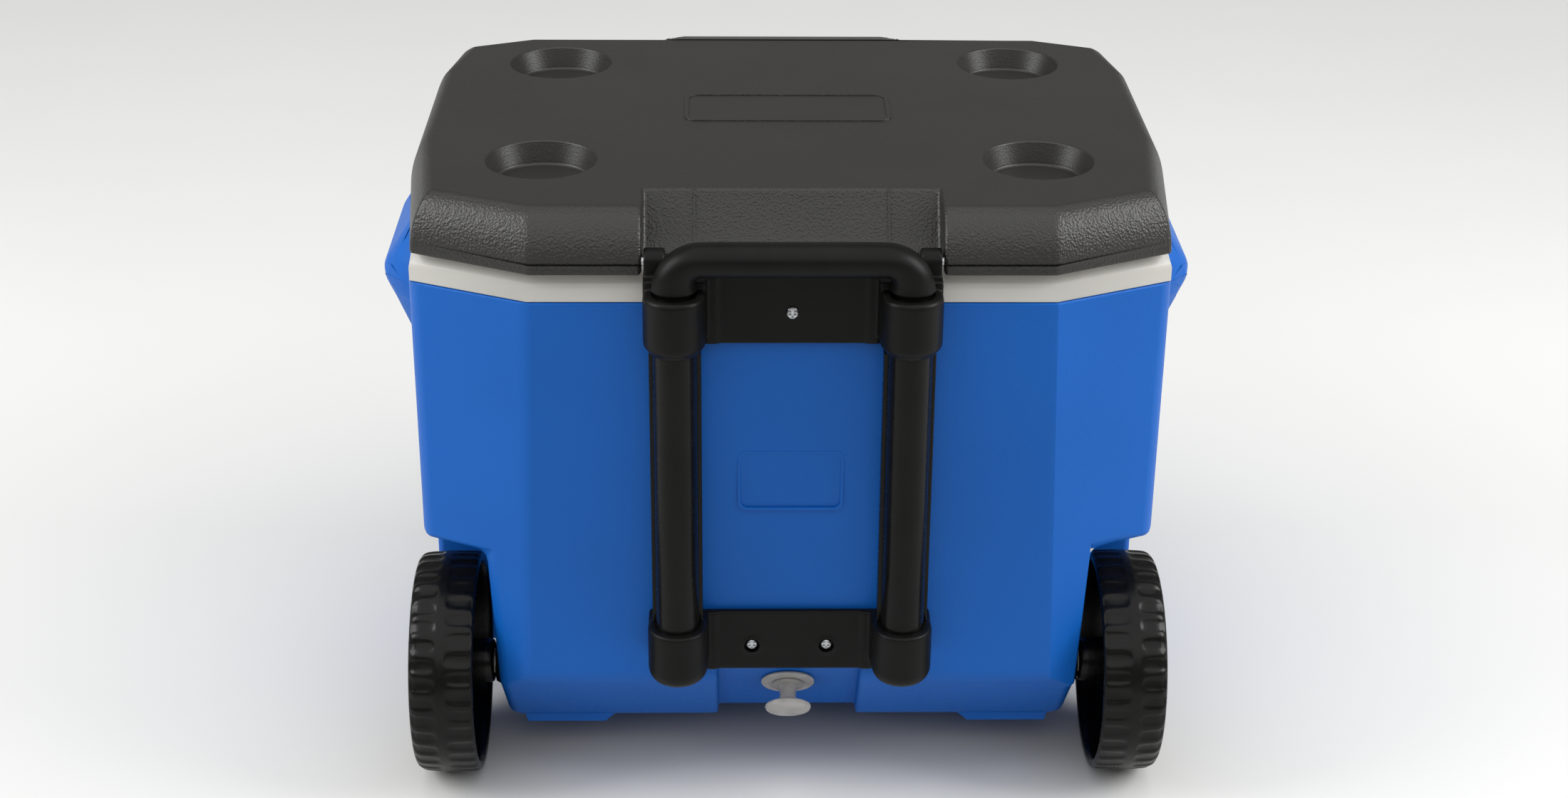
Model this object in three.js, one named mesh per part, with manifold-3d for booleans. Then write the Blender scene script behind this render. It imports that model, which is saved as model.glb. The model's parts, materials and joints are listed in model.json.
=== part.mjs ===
// A hard-sided cooler on two wheels: a foam-filled tub with a hinged lid, a telescoping pull handle on its
// back, a drain plug under it and moulded carrying handles at its sides.
// Millimetres, +Z up, X across the width. The back, with the pull handle, faces -Y.
import * as THREE from "three";
import { mergeVertices } from "three/addons/utils/BufferGeometryUtils.js";
import Module from "manifold-3d";

const wasm = await Module();
wasm.setup();

// ---------- Driving dimensions ----------
const gap = 0.3; // between pieces that touch
const shellWall = 3;
const linerWall = 2.5;
const insulation = 22; // foam between the tub's shell and its liner

// Overall sizes. The middle of the four cup holders is at y = 0
const halfWidth = 262;
const depth = 396;
const height = 388; // of the tub's top above the ground
const backY = -212;
const frontY = backY + depth;

const tub = {
  baseZ: 40,
  topZ: height,
  rearY: backY, // at the rim
  rearFootY: backY + 4.5, // at the foot, after the draft
  frontY,
  frontFootY: frontY - 8,
  rearKinkX: halfWidth - 87,
  rearKinkFootX: halfWidth - 77,
  cornerX: halfWidth - 6,
  cornerRearY: backY + 37,
  cornerFrontY: frontY - 36,
  sideX: halfWidth,
  sideRearY: backY + 152,
  sideFrontY: frontY - 92,
  frontKinkX: halfWidth - 74,
  cornerRound: 7,
  baseRound: 5,
  baseRoundHeight: 6,
};
const undercut = { topZ: 97, run: 44.5 }; // the slope under the back face
const drainBay = { halfWidth: 50, depth: 9 };
const frontFoot = { x: halfWidth - 112, width: 76, depth: 46, setback: 14 };
const skid = { innerX: halfWidth - 130, outerX: halfWidth - 72, y: backY + 62, halfDepth: 11, height: 3 };

// Carrying handle moulded into each side, measured from the tub's side and top
const sideHandle = {
  reachX: halfWidth + 28,
  tabX: halfWidth + 5.5,
  ridgeZ: height - 40,
  ridgeHalfHeight: 8,
  ridgeRound: 2,
  lowZ: height - 98,
  topZ: height + 18,
  halfFlat: 60,
  halfLength: 88,
};
const handHold = { halfLength: 46, lip: 8, topBelowRidge: 12, setback: 2 };

// A plain moulded frame on the back face, and a plain raised border on the lid
const backFrame = { halfWidth: 36, bottomZ: height - 154, topZ: height - 109, line: 2.5, proud: 0.8 };
const cup = {
  x: halfWidth - 92.3,
  rearY: backY + 104.6,
  frontY: frontY - 76.6,
  rimRadius: 38,
  draft: 4.5,
  depth: 16,
};
const middleOfCups = (cup.rearY + cup.frontY) / 2;
const plaque = { halfWidth: 74, y: middleOfCups + 2, halfDepth: 30, line: 3, proud: 0.8 };

// Rim of the liner, which shows as a band between tub and lid
const rim = { height: 21, chamfer: 9, setback: 1 };

// Lid, whose outline stands over the tub's
const lid = {
  height: 40,
  lift: 22.3, // from the tub's top to the lid's lower edge
  rearY: tub.rearY - 8,
  frontY: tub.frontY + 7,
  rearKinkX: tub.rearKinkX - 3,
  cornerX: tub.cornerX - 3,
  cornerRearY: tub.cornerRearY - 5,
  frontCornerX: tub.cornerX + 4,
  cornerFrontY: tub.cornerFrontY + 6,
  sideX: tub.sideX + 4,
  frontKinkX: tub.frontKinkX + 7,
  topInset: 25,
  sideTopInset: 15,
  rearCornerTopInset: 15, // along Y
  frontCornerTopInset: 21,
  frontCornerTopSetback: 6,
  plugDepth: 12,
  plugGap: 5,
};
const lip = { halfWidth: 96, reach: 20, height: 26, corner: 12 };

// Pull handle: two fixed posts, held by brackets at top and foot, and a tube that slides in each
const pullTravel = 230;
const postRadius = 14.5;
const cupSocket = { radius: postRadius + 6, bottomZ: undercut.topZ + 18.5, height: 43 };
const post = {
  x: 77,
  y: backY - postRadius - 9,
  radius: postRadius,
  wall: 1.5,
  footZ: cupSocket.bottomZ + 3,
  topZ: height + 9,
};
const slideTube = { radius: 11.2, wall: 1.5, footZ: post.footZ + 9, reachIntoGrip: 6 };
const sleeve = {
  radius: postRadius + 6,
  bottomZ: height - 19.5,
  topZ: height + 17,
  collar: 4,
  collarRadius: postRadius + 3,
};
const plate = {
  thickness: 5.5,
  upperBottomZ: height - 26.4,
  upperTopZ: height + 14,
  lowerBottomZ: undercut.topZ + 12.5,
  lowerTopZ: undercut.topZ + 59,
};
const grip = {
  legHalfWidth: slideTube.radius + 3.8,
  halfDepth: slideTube.radius + 1.8,
  barHalfHeight: 11.5,
  bend: 18,
  legFootZ: sleeve.topZ + 0.8,
  rise: 22.7,
};

// The lid's recess for the pull handle, and the hinge at its two ends
const recess = {
  halfWidth: post.x + sleeve.radius + 1,
  topY: backY + 49,
  heelY: backY + 32,
  heelZ: height + 36,
  footY: backY + 22,
  footZ: height + 26,
};
const earOuterX = recess.halfWidth - 1.5;
const hinge = {
  y: backY,
  z: height + 30,
  lobe: 9,
  earInnerX: earOuterX - 14,
  earOuterX,
  pinRadius: 3,
  pinReach: 8,
  bossWall: 2.6,
};
const screw = {
  headRadius: 4.2,
  headHeight: 2.4,
  shankRadius: 2,
  length: 22,
  upperZ: height - 4,
  lowerZ: undercut.topZ + 32,
  lowerX: 26,
};

// Wheels, each in a well in the tub's side
const wheelRadius = 80;
const wheel = {
  radius: wheelRadius,
  y: backY + wheelRadius - 20.8,
  width: 46,
  rimWall: 8,
  hubRadius: 16,
  webSetback: 29,
  webWall: 5,
  shoulder: 7,
};
const well = {
  innerX: halfWidth - 51,
  topZ: 2 * wheel.radius + 33,
  clearance: 14,
  round: 16,
  lean: 0.05,
  hubRoom: 1,
  wheelRoom: 10,
};
const axle = { radius: 6, headRadius: 9.5, headThickness: 3 };
const bush = { wall: 2.6 };
const anchor = { size: 34, thickness: 3 };
const axleFlange = { radius: axle.radius + 11, thickness: 3.5 };

// Drain, square to the undercut
const drain = {
  z: undercut.topZ - 14,
  flangeRadius: 19,
  flange: 2.5,
  tubeRadius: 11,
  boreRadius: 8,
  nut: 6,
  nutRadius: 17,
  gasket: 2,
};
const plug = {
  clearance: 0.6,
  length: 22,
  stemRadius: 5.5,
  stem: 16,
  knobRadius: 16.4,
  knob: 3.5,
  flange: 3.6,
};

// ---------- Worked out from them ----------
const beyond = 60; // how far a cutting shape runs past what it cuts
const rimTopZ = tub.topZ + rim.height;
const lidZ = tub.topZ + lid.lift;
const lidTopZ = lidZ + lid.height;
const plateY = tub.rearY - gap; // back of the upper plate
const lowerPlateY = tub.rearFootY - 1;
const linerInset = shellWall + insulation;
const cavityInset = linerInset + linerWall;
const hubInnerX = well.innerX + well.hubRoom;
const wheelInnerX = well.innerX + well.wheelRoom;
const wheelOuterX = wheelInnerX + wheel.width;
const plugRadius = drain.boreRadius - plug.clearance;
const slopeRun = undercut.run;
const slopeDrop = undercut.topZ - tub.baseZ;
const slopeLength = Math.hypot(slopeRun, slopeDrop);
const drainAxis = new THREE.Vector3(0, -slopeDrop / slopeLength, -slopeRun / slopeLength);
const nearestY = post.y - sleeve.radius;
const farthestY = lid.frontY + lip.reach;
const middleY = (nearestY + farthestY) / 2;

// ---------- Materials ----------
const finish = (color, roughness, metalness = 0) =>
  new THREE.MeshStandardMaterial({ color, roughness, metalness });
const bluePlastic = finish(0x2767b8, 0.45);
const charcoalPlastic = finish(0x3b3a35, 0.5);
const whitePlastic = finish(0xd9d8d2, 0.4);
const foam = finish(0xe9dfb4, 0.9);
const blackPlastic = finish(0x121212, 0.45);
const blackTube = finish(0x161615, 0.3, 0.3);
const steel = finish(0xb0b0ae, 0.35, 1);
const clearPlastic = finish(0x9c9a98, 0.4);
const rubber = finish(0x2a2a2a, 0.8);
const nylon = finish(0xd8d6cc, 0.5);

// ---------- Geometry helpers ----------
function toSolid(geometry) {
  const bare = geometry.index ? geometry.toNonIndexed() : geometry.clone();
  const positions = new THREE.BufferGeometry().setAttribute("position", bare.getAttribute("position"));
  const merged = mergeVertices(positions, 1e-3);
  return new wasm.Manifold(
    new wasm.Mesh({
      numProp: 3,
      vertProperties: new Float32Array(merged.attributes.position.array),
      triVerts: new Uint32Array(merged.index.array),
    }),
  );
}

function toGeometry(solid) {
  const mesh = solid.getMesh();
  const vertices = new Float32Array(mesh.numVert * 3);
  for (let i = 0; i < mesh.numVert; i++) {
    vertices.set(mesh.vertProperties.subarray(i * mesh.numProp, i * mesh.numProp + 3), i * 3);
  }
  const geometry = new THREE.BufferGeometry();
  geometry.setAttribute("position", new THREE.BufferAttribute(vertices, 3));
  geometry.setIndex(new THREE.BufferAttribute(new Uint32Array(mesh.triVerts), 1));
  geometry.computeVertexNormals();
  return geometry;
}

const add = (first, ...others) => others.reduce((sum, next) => sum.add(next), first);
const cut = (first, ...others) => others.reduce((left, next) => left.subtract(next), first);

// A closed solid through rings of points, each ring convex and with as many points as the last
function loft(rings) {
  const count = rings[0].length;
  const points = rings.flat();
  const faces = [];
  rings.slice(1).forEach((_, level) => {
    for (let i = 0; i < count; i++) {
      const a = level * count + i;
      const b = level * count + ((i + 1) % count);
      faces.push(a, b, b + count, a, b + count, a + count);
    }
  });
  const last = (rings.length - 1) * count;
  for (let i = 1; i < count - 1; i++) {
    faces.push(0, i + 1, i);
    faces.push(last, last + i, last + i + 1);
  }
  const geometry = new THREE.BufferGeometry().setFromPoints(points);
  geometry.setIndex(faces);
  return toSolid(geometry);
}

function box(x0, x1, y0, y1, z0, z1) {
  const geometry = new THREE.BoxGeometry(x1 - x0, y1 - y0, z1 - z0);
  return toSolid(geometry.translate((x0 + x1) / 2, (y0 + y1) / 2, (z0 + z1) / 2));
}

// A round bar from one point to another
function rod(from, to, radius, endRadius = radius, segments = 20) {
  const along = new THREE.Vector3().subVectors(to, from);
  const geometry = new THREE.CylinderGeometry(endRadius, radius, along.length(), segments);
  const turn = new THREE.Quaternion().setFromUnitVectors(
    new THREE.Vector3(0, 1, 0),
    along.clone().normalize(),
  );
  geometry.applyQuaternion(turn);
  const centre = from.clone().addScaledVector(along, 0.5);
  return toSolid(geometry.translate(centre.x, centre.y, centre.z));
}
const at = (x, y, z) => new THREE.Vector3(x, y, z);

// A turned piece: a closed profile of [radius, distance along the axis] about an axis through origin
function turned(profile, origin, axis, segments = 20) {
  const geometry = new THREE.LatheGeometry(
    profile.map(([radius, along]) => new THREE.Vector2(radius, along)),
    segments,
  );
  const turn = new THREE.Quaternion().setFromUnitVectors(new THREE.Vector3(0, 1, 0), axis);
  geometry.applyQuaternion(turn).translate(origin.x, origin.y, origin.z);
  return toSolid(geometry);
}

// An outline of [y, z] points drawn out along X
function acrossX(outline, x0, x1) {
  const shape = new THREE.Shape(outline.map(([y, z]) => new THREE.Vector2(y, z)));
  const geometry = new THREE.ExtrudeGeometry(shape, { depth: x1 - x0, bevelEnabled: false });
  const turn = new THREE.Matrix4().makeBasis(at(0, 1, 0), at(0, 0, 1), at(1, 0, 0));
  return toSolid(geometry.applyMatrix4(turn).translate(x0, 0, 0));
}

// Moves each edge of a convex, anticlockwise outline inwards
function insetOutline(points, inset) {
  const count = points.length;
  const edges = points.map((p, i) => {
    const direction = points[(i + 1) % count].clone().sub(p).normalize();
    const inward = new THREE.Vector2(-direction.y, direction.x);
    return { start: p.clone().addScaledVector(inward, inset), direction };
  });
  return edges.map((edge, i) => {
    const before = edges[(i + count - 1) % count];
    const turn = before.direction.cross(edge.direction);
    const reach = edge.start.clone().sub(before.start).cross(edge.direction) / turn;
    return before.start.clone().addScaledVector(before.direction, reach);
  });
}

// Rounds each corner of an outline with a short curve
function roundOutline(points, radius, steps = 2) {
  const count = points.length;
  return points.flatMap((corner, i) => {
    const before = points[(i + count - 1) % count].clone().sub(corner);
    const after = points[(i + 1) % count].clone().sub(corner);
    const along = (edge) => {
      const reach = Math.min(radius, edge.length() * 0.4);
      return corner.clone().addScaledVector(edge.clone().normalize(), reach);
    };
    return new THREE.QuadraticBezierCurve(along(before), corner, along(after)).getPoints(steps);
  });
}

const mirrored = (half) => [
  ...half.map(([x, y]) => new THREE.Vector2(x, y)),
  ...half.map(([x, y]) => new THREE.Vector2(-x, y)).reverse(),
];
const ringAt = (outline, z) => outline.map((p) => at(p.x, p.y, z));

// ---------- Tub ----------
const tubTopCorners = mirrored([
  [tub.rearKinkX, tub.rearY],
  [tub.cornerX, tub.cornerRearY],
  [tub.sideX, tub.sideRearY],
  [tub.sideX, tub.sideFrontY],
  [tub.cornerX, tub.cornerFrontY],
  [tub.frontKinkX, tub.frontY],
]);
const footDraft = tub.frontY - tub.frontFootY;
const tubFootCorners = mirrored([
  [tub.rearKinkFootX, tub.rearFootY],
  [tub.cornerX, tub.cornerRearY + 2],
  [tub.sideX, tub.sideRearY],
  [tub.sideX, tub.sideFrontY],
  [tub.cornerX - footDraft / 2, tub.cornerFrontY - footDraft],
  [tub.frontKinkX - footDraft, tub.frontFootY],
]);

function tubOutline(inset, share) {
  const corners = tubTopCorners.map((p, i) => p.clone().lerp(tubFootCorners[i], share));
  return roundOutline(insetOutline(corners, inset), tub.cornerRound);
}

// The slope under the back face, moved inwards, as the solid to cut away below it
function underSlope(inset, x0, x1) {
  const lift = (inset * slopeLength) / slopeRun; // how far the slope's line rises
  const lineZ = (y) => undercut.topZ + lift - ((y - tub.rearFootY) * slopeDrop) / slopeRun;
  const outsideY = tub.rearY - beyond;
  const bottomZ = -beyond;
  const reachY = tub.rearFootY + ((undercut.topZ + lift - bottomZ) * slopeRun) / slopeDrop;
  return acrossX([[outsideY, bottomZ], [reachY, bottomZ], [outsideY, lineZ(outsideY)]], x0, x1);
}

// The space for one wheel, grown by inset, on the side that sign gives
function wheelWell(sign, inset) {
  const wallY = wheel.y + wheel.radius + well.clearance + inset;
  const innerX = well.innerX - inset;
  const topZ = well.topZ + inset;
  const shape = new THREE.Shape();
  shape.moveTo(innerX - well.lean * (topZ - well.round + beyond), -beyond);
  shape.lineTo(innerX, topZ - well.round);
  shape.quadraticCurveTo(innerX, topZ, innerX + well.round, topZ);
  shape.lineTo(tub.sideX + beyond, topZ);
  shape.lineTo(tub.sideX + beyond, -beyond);
  const run = wallY - (tub.rearY - beyond);
  const geometry = new THREE.ExtrudeGeometry(shape, { depth: run, bevelEnabled: false, curveSegments: 5 });
  const turn = new THREE.Matrix4().makeBasis(at(1, 0, 0), at(0, 0, 1), at(0, -1, 0));
  const right = toSolid(geometry.applyMatrix4(turn).translate(0, wallY, 0));
  return sign > 0 ? right : right.mirror([1, 0, 0]);
}

// The tub's whole form, each face moved inwards by inset, up to height topZ
function tubForm(inset, topZ) {
  const baseZ = tub.baseZ + inset;
  const levels = [baseZ, baseZ + tub.baseRoundHeight, undercut.topZ, tub.topZ];
  const share = (z) => Math.min(1, (tub.topZ - z) / (tub.topZ - undercut.topZ));
  const rings = levels.map((z, i) => ringAt(tubOutline(inset + (i === 0 ? tub.baseRound : 0), share(z)), z));
  if (topZ > tub.topZ) rings.push(ringAt(tubOutline(inset, 0), topZ));
  const bayInset = inset + drainBay.depth;
  const bayHalf = drainBay.halfWidth + inset;
  return cut(
    loft(rings),
    underSlope(inset, -tub.sideX - beyond, tub.sideX + beyond),
    underSlope(bayInset, -bayHalf, bayHalf),
    wheelWell(1, inset),
    wheelWell(-1, inset),
  );
}

// One side's carrying handle: a ridge that swells out of the tub's side, open underneath for the fingers
function carryingHandle(sign) {
  const inX = tub.sideX - shellWall;
  const { reachX, tabX, ridgeZ, ridgeHalfHeight, ridgeRound, lowZ, topZ, halfFlat, halfLength } = sideHandle;
  const section = (y, out) => {
    const x = (full) => inX + 1 + (full - inX - 1) * out;
    return [
      at(inX, y, lowZ),
      at(x(tub.sideX), y, lowZ),
      at(x(reachX - ridgeRound), y, ridgeZ - ridgeHalfHeight),
      at(x(reachX), y, ridgeZ),
      at(x(reachX - ridgeRound), y, ridgeZ + ridgeHalfHeight),
      at(x(tabX), y, tub.topZ - 1),
      at(inX, y, tub.topZ - 1),
    ];
  };
  const partWay = (halfFlat + halfLength) / 2;
  const stations = [[halfLength, 0.02], [partWay, 0.62], [halfFlat, 1]];
  const swell = loft([
    ...stations.map(([y, out]) => section(middleOfCups + y, out)),
    ...stations.map(([y, out]) => section(middleOfCups - y, out)).reverse(),
  ]);
  const hold = box(
    tub.sideX + handHold.setback,
    reachX - handHold.lip,
    middleOfCups - handHold.halfLength,
    middleOfCups + handHold.halfLength,
    lowZ - 20,
    ridgeZ - handHold.topBelowRidge,
  );
  const apronY = [middleOfCups - halfFlat, middleOfCups + halfFlat];
  const apron = box(tub.sideX + 0.8, tabX, ...apronY, tub.topZ - 30, topZ);
  const right = cut(add(swell, apron), hold);
  return sign > 0 ? right : right.mirror([1, 0, 0]);
}

function frontFootBlock(sign) {
  const x = sign * frontFoot.x;
  const farY = tub.frontFootY - frontFoot.setback;
  const nearY = farY - frontFoot.depth;
  const half = frontFoot.width / 2;
  const ring = (grow, z) =>
    ringAt(
      roundOutline(
        [
          new THREE.Vector2(x - half - grow, nearY - grow),
          new THREE.Vector2(x + half + grow, nearY - grow),
          new THREE.Vector2(x + half + grow, farY + grow),
          new THREE.Vector2(x - half - grow, farY + grow),
        ],
        8,
      ),
      z,
    );
  return loft([ring(-4, 0), ring(-2, 2), ring(0, tub.baseZ + 1)]);
}

// A short pad under each back corner of the base
function rearSkid(sign) {
  const x = (sign * (skid.innerX + skid.outerX)) / 2;
  const half = (skid.outerX - skid.innerX) / 2;
  const z = tub.baseZ - skid.height;
  return box(x - half, x + half, skid.y - skid.halfDepth, skid.y + skid.halfDepth, z, tub.baseZ + 1);
}

// The back face's raised frame
function rearFrame() {
  const { bottomZ, topZ, line, proud } = backFrame;
  const draft = (tub.rearFootY - tub.rearY) / (tub.topZ - undercut.topZ);
  const faceY = (z) => tub.rearY + draft * (tub.topZ - z);
  const slab = (inset, back, front) =>
    acrossX(
      [
        [faceY(bottomZ + inset) - back, bottomZ + inset],
        [faceY(bottomZ + inset) + front, bottomZ + inset],
        [faceY(topZ - inset) + front, topZ - inset],
        [faceY(topZ - inset) - back, topZ - inset],
      ],
      -backFrame.halfWidth + inset,
      backFrame.halfWidth - inset,
    );
  return cut(slab(0, proud, 1), slab(line, 5, 5));
}

// A hole through everything along the drain's axis
const drainFaceY = (() => {
  const lift = (drainBay.depth * slopeLength) / slopeRun;
  return tub.rearFootY + ((undercut.topZ + lift - drain.z) * slopeRun) / slopeDrop;
})();
const drainAt = (along) => at(0, drainFaceY, drain.z).addScaledVector(drainAxis, along);
const alongDrain = (from, to, radius) => rod(drainAt(from), drainAt(to), radius);

const wheelAt = (sign, x) => at(sign * x, wheel.y, wheel.radius);
const alongAxle = (sign, x0, x1, radius) => rod(wheelAt(sign, x0), wheelAt(sign, x1), radius);
const wellWallAt = (z) => well.innerX - well.lean * (well.topZ - well.round - z);
const wellWallX = wellWallAt(wheel.radius); // where the axle meets the well's wall
const flangeX = wellWallAt(wheel.radius + axleFlange.radius) + gap;

const screwSeats = [
  { name: "screw_upper", x: 0, y: plateY - plate.thickness, z: screw.upperZ },
  { name: "screw_lower_left", x: -screw.lowerX, y: lowerPlateY - plate.thickness, z: screw.lowerZ },
  { name: "screw_lower_right", x: screw.lowerX, y: lowerPlateY - plate.thickness, z: screw.lowerZ },
];
const screwHole = (seat, clearance) =>
  rod(
    at(seat.x, seat.y - 1, seat.z),
    at(seat.x, seat.y + screw.length + clearance, seat.z),
    screw.shankRadius + clearance,
    screw.shankRadius + clearance,
    16,
  );
const screwHoles = (clearance) => screwSeats.map((seat) => screwHole(seat, clearance));

const shellHollow = tubForm(shellWall, tub.topZ + 10);
const outerShell = cut(
  add(
    tubForm(0, tub.topZ),
    rearFrame(),
    ...[1, -1].flatMap((sign) => [carryingHandle(sign), frontFootBlock(sign), rearSkid(sign)]),
  ),
  shellHollow,
  alongDrain(-shellWall - 8, 8, drain.tubeRadius + gap),
  alongAxle(1, wellWallX - 20, wellWallX + 20, axle.radius + gap),
  alongAxle(-1, wellWallX - 20, wellWallX + 20, axle.radius + gap),
  ...screwHoles(gap),
);

// ---------- Liner, with the rim that rests on the tub ----------
const rimBottomZ = tub.topZ + gap;
const rimOutline = (inset) => tubOutline(rim.setback + inset, 0);
const tubOfLiner = tubForm(linerInset, rimTopZ);
const rimSolid = loft([
  ringAt(rimOutline(0), rimBottomZ),
  ringAt(rimOutline(0), rimTopZ - rim.chamfer),
  ringAt(rimOutline(rim.chamfer), rimTopZ),
]);
const rimHollow = (grow) =>
  loft([
    ringAt(rimOutline(shellWall + grow), rimBottomZ - 1),
    ringAt(rimOutline(shellWall + grow), rimTopZ - rim.chamfer - 1 - grow),
    ringAt(rimOutline(shellWall + rim.chamfer + grow), rimTopZ - shellWall - grow),
  ]);
const innerLiner = cut(
  add(cut(rimSolid, rimHollow(0)), tubOfLiner),
  tubForm(cavityInset, rimTopZ + 5),
  alongDrain(-linerInset - 30, -linerInset + 8, drain.tubeRadius + gap),
);

const anchorX = wellWallAt(wheel.radius - anchor.size / 2) - shellWall - gap - anchor.thickness;
const foamCore = cut(
  add(tubForm(shellWall + gap, tub.topZ), rimHollow(gap)),
  tubForm(linerInset - gap, rimTopZ + 5),
  alongDrain(-linerInset - 10, 8, drain.tubeRadius + gap),
  ...[1, -1].flatMap((sign) => [
    alongAxle(sign, anchorX - 8, wellWallX + 20, axle.headRadius + gap),
    box(
      Math.min(sign * (anchorX - gap), sign * (wellWallX + 20)),
      Math.max(sign * (anchorX - gap), sign * (wellWallX + 20)),
      wheel.y - anchor.size / 2 - gap,
      wheel.y + anchor.size / 2 + gap,
      wheel.radius - anchor.size / 2 - gap,
      wheel.radius + anchor.size / 2 + gap,
    ),
  ]),
  ...screwHoles(gap),
);

// ---------- Wheels, each on its own stub axle ----------
function wheelParts(sign, side) {
  const axis = at(sign, 0, 0);
  const start = at(0, wheel.y, wheel.radius);
  const bore = axle.radius + gap + bush.wall + gap;
  const { radius, hubRadius, webWall, rimWall, shoulder } = wheel;
  const webX = wheelInnerX + wheel.webSetback;
  const hubOuterX = wheelOuterX - 7;
  const rim = radius - rimWall;
  const body = turned(
    [
      [bore, hubInnerX],
      [hubRadius, hubInnerX],
      [hubRadius, webX],
      [rim - 3, webX],
      [rim, webX - 3],
      [rim, wheelInnerX],
      [radius - 2, wheelInnerX],
      [radius, wheelInnerX + 2],
      [radius, wheelOuterX - shoulder],
      [radius - 3, wheelOuterX - 2],
      [radius - 6, wheelOuterX],
      [rim - 2, wheelOuterX - 1],
      [rim - 5, webX + webWall],
      [hubRadius + 3, webX + webWall],
      [hubRadius, hubOuterX],
      [bore, hubOuterX],
      [bore, hubInnerX],
    ],
    start,
    axis,
    40,
  );
  const sleeveBush = turned(
    [
      [axle.radius + gap, hubInnerX],
      [axle.radius + gap + bush.wall, hubInnerX],
      [axle.radius + gap + bush.wall, hubOuterX],
      [axle.radius + gap, hubOuterX],
      [axle.radius + gap, hubInnerX],
    ],
    start,
    axis,
  );
  const anchorPlate = cut(
    box(
      Math.min(sign * anchorX, sign * (anchorX + anchor.thickness)),
      Math.max(sign * anchorX, sign * (anchorX + anchor.thickness)),
      wheel.y - anchor.size / 2,
      wheel.y + anchor.size / 2,
      wheel.radius - anchor.size / 2,
      wheel.radius + anchor.size / 2,
    ),
    alongAxle(sign, anchorX - 10, anchorX + 10, axle.radius + gap),
  );
  const capInnerX = hubOuterX + gap * 2;
  const pin = add(
    alongAxle(sign, anchorX - gap, capInnerX + 3, axle.radius),
    alongAxle(sign, anchorX - gap - axle.headThickness, anchorX - gap, axle.headRadius),
  );
  const flange = turned(
    [
      [axle.radius + gap, flangeX],
      [axleFlange.radius, flangeX],
      [axleFlange.radius - 2, flangeX + axleFlange.thickness],
      [axle.radius + gap, flangeX + axleFlange.thickness],
      [axle.radius + gap, flangeX],
    ],
    start,
    axis,
  );
  const cap = cut(
    turned(
      [
        [0, capInnerX],
        [hubRadius - 2, capInnerX],
        [hubRadius - 2.5, capInnerX + 3],
        [hubRadius - 6, capInnerX + 6],
        [0, capInnerX + 6.2],
      ],
      start,
      axis,
    ),
    alongAxle(sign, capInnerX - 5, capInnerX + 3 + gap, axle.radius + gap),
  );
  return [
    ["wheel_" + side, body, blackPlastic],
    ["wheel_bush_" + side, sleeveBush, nylon],
    ["axle_anchor_" + side, anchorPlate, steel],
    ["axle_pin_" + side, pin, steel],
    ["axle_flange_" + side, flange, blackPlastic],
    ["axle_cap_" + side, cap, blackPlastic],
  ];
}

// ---------- Drain ----------
const spout = cut(
  add(
    alongDrain(gap, gap + drain.flange, drain.flangeRadius),
    alongDrain(-(cavityInset + drain.nut + 2), gap + 1, drain.tubeRadius),
  ),
  alongDrain(-linerInset - 60, 10, drain.boreRadius),
);
const drainGasket = cut(
  alongDrain(-(cavityInset + gap), -(cavityInset + gap + drain.gasket), drain.nutRadius - 1),
  alongDrain(-linerInset - 40, 0, drain.tubeRadius + gap),
);
const nutFrom = cavityInset + 2 * gap + drain.gasket;
const drainNut = cut(
  rod(drainAt(-nutFrom), drainAt(-nutFrom - drain.nut), drain.nutRadius, drain.nutRadius, 6),
  alongDrain(-linerInset - 60, 0, drain.tubeRadius + gap),
);
const plugHeadFrom = 2 * gap + drain.flange;
const drainPlug = turned(
  [
    [0, -plug.length],
    [plugRadius - 1.5, -plug.length],
    [plugRadius, -plug.length + 3],
    [plugRadius, plugHeadFrom],
    [plugRadius + plug.flange, plugHeadFrom],
    [plugRadius + plug.flange, plugHeadFrom + 2],
    [plug.stemRadius + 1, plugHeadFrom + 3],
    [plug.stemRadius, plugHeadFrom + plug.stem - 6],
    [plug.stemRadius + 3, plugHeadFrom + plug.stem - 1],
    [plug.knobRadius - 1, plugHeadFrom + plug.stem],
    [plug.knobRadius, plugHeadFrom + plug.stem + plug.knob / 2],
    [plug.knobRadius - 1.5, plugHeadFrom + plug.stem + plug.knob],
    [0, plugHeadFrom + plug.stem + plug.knob + 0.6],
  ],
  drainAt(0),
  drainAxis,
);

// ---------- Pull handle ----------
const vertical = (x, y, z0, z1, radius) => rod(at(x, y, z0), at(x, y, z1), radius);
const postSides = [[-1, "left"], [1, "right"]];

const ear = (sign) => {
  const x0 = Math.min(sign * hinge.earInnerX, sign * hinge.earOuterX);
  const x1 = Math.max(sign * hinge.earInnerX, sign * hinge.earOuterX);
  const lobe = rod(at(x0, hinge.y, hinge.z), at(x1, hinge.y, hinge.z), hinge.lobe);
  const stalk = box(x0, x1, hinge.y - hinge.lobe, plateY, plate.upperTopZ - 20, hinge.z);
  return add(lobe, stalk);
};
const sleeveRing = (sign) =>
  add(
    vertical(sign * post.x, post.y, sleeve.bottomZ, sleeve.topZ, sleeve.radius),
    vertical(sign * post.x, post.y, sleeve.bottomZ - sleeve.collar, sleeve.bottomZ + 1, sleeve.collarRadius),
    box(
      sign * post.x - sleeve.radius,
      sign * post.x + sleeve.radius,
      post.y + 6,
      plateY,
      sleeve.bottomZ,
      plate.upperTopZ,
    ),
  );
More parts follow.
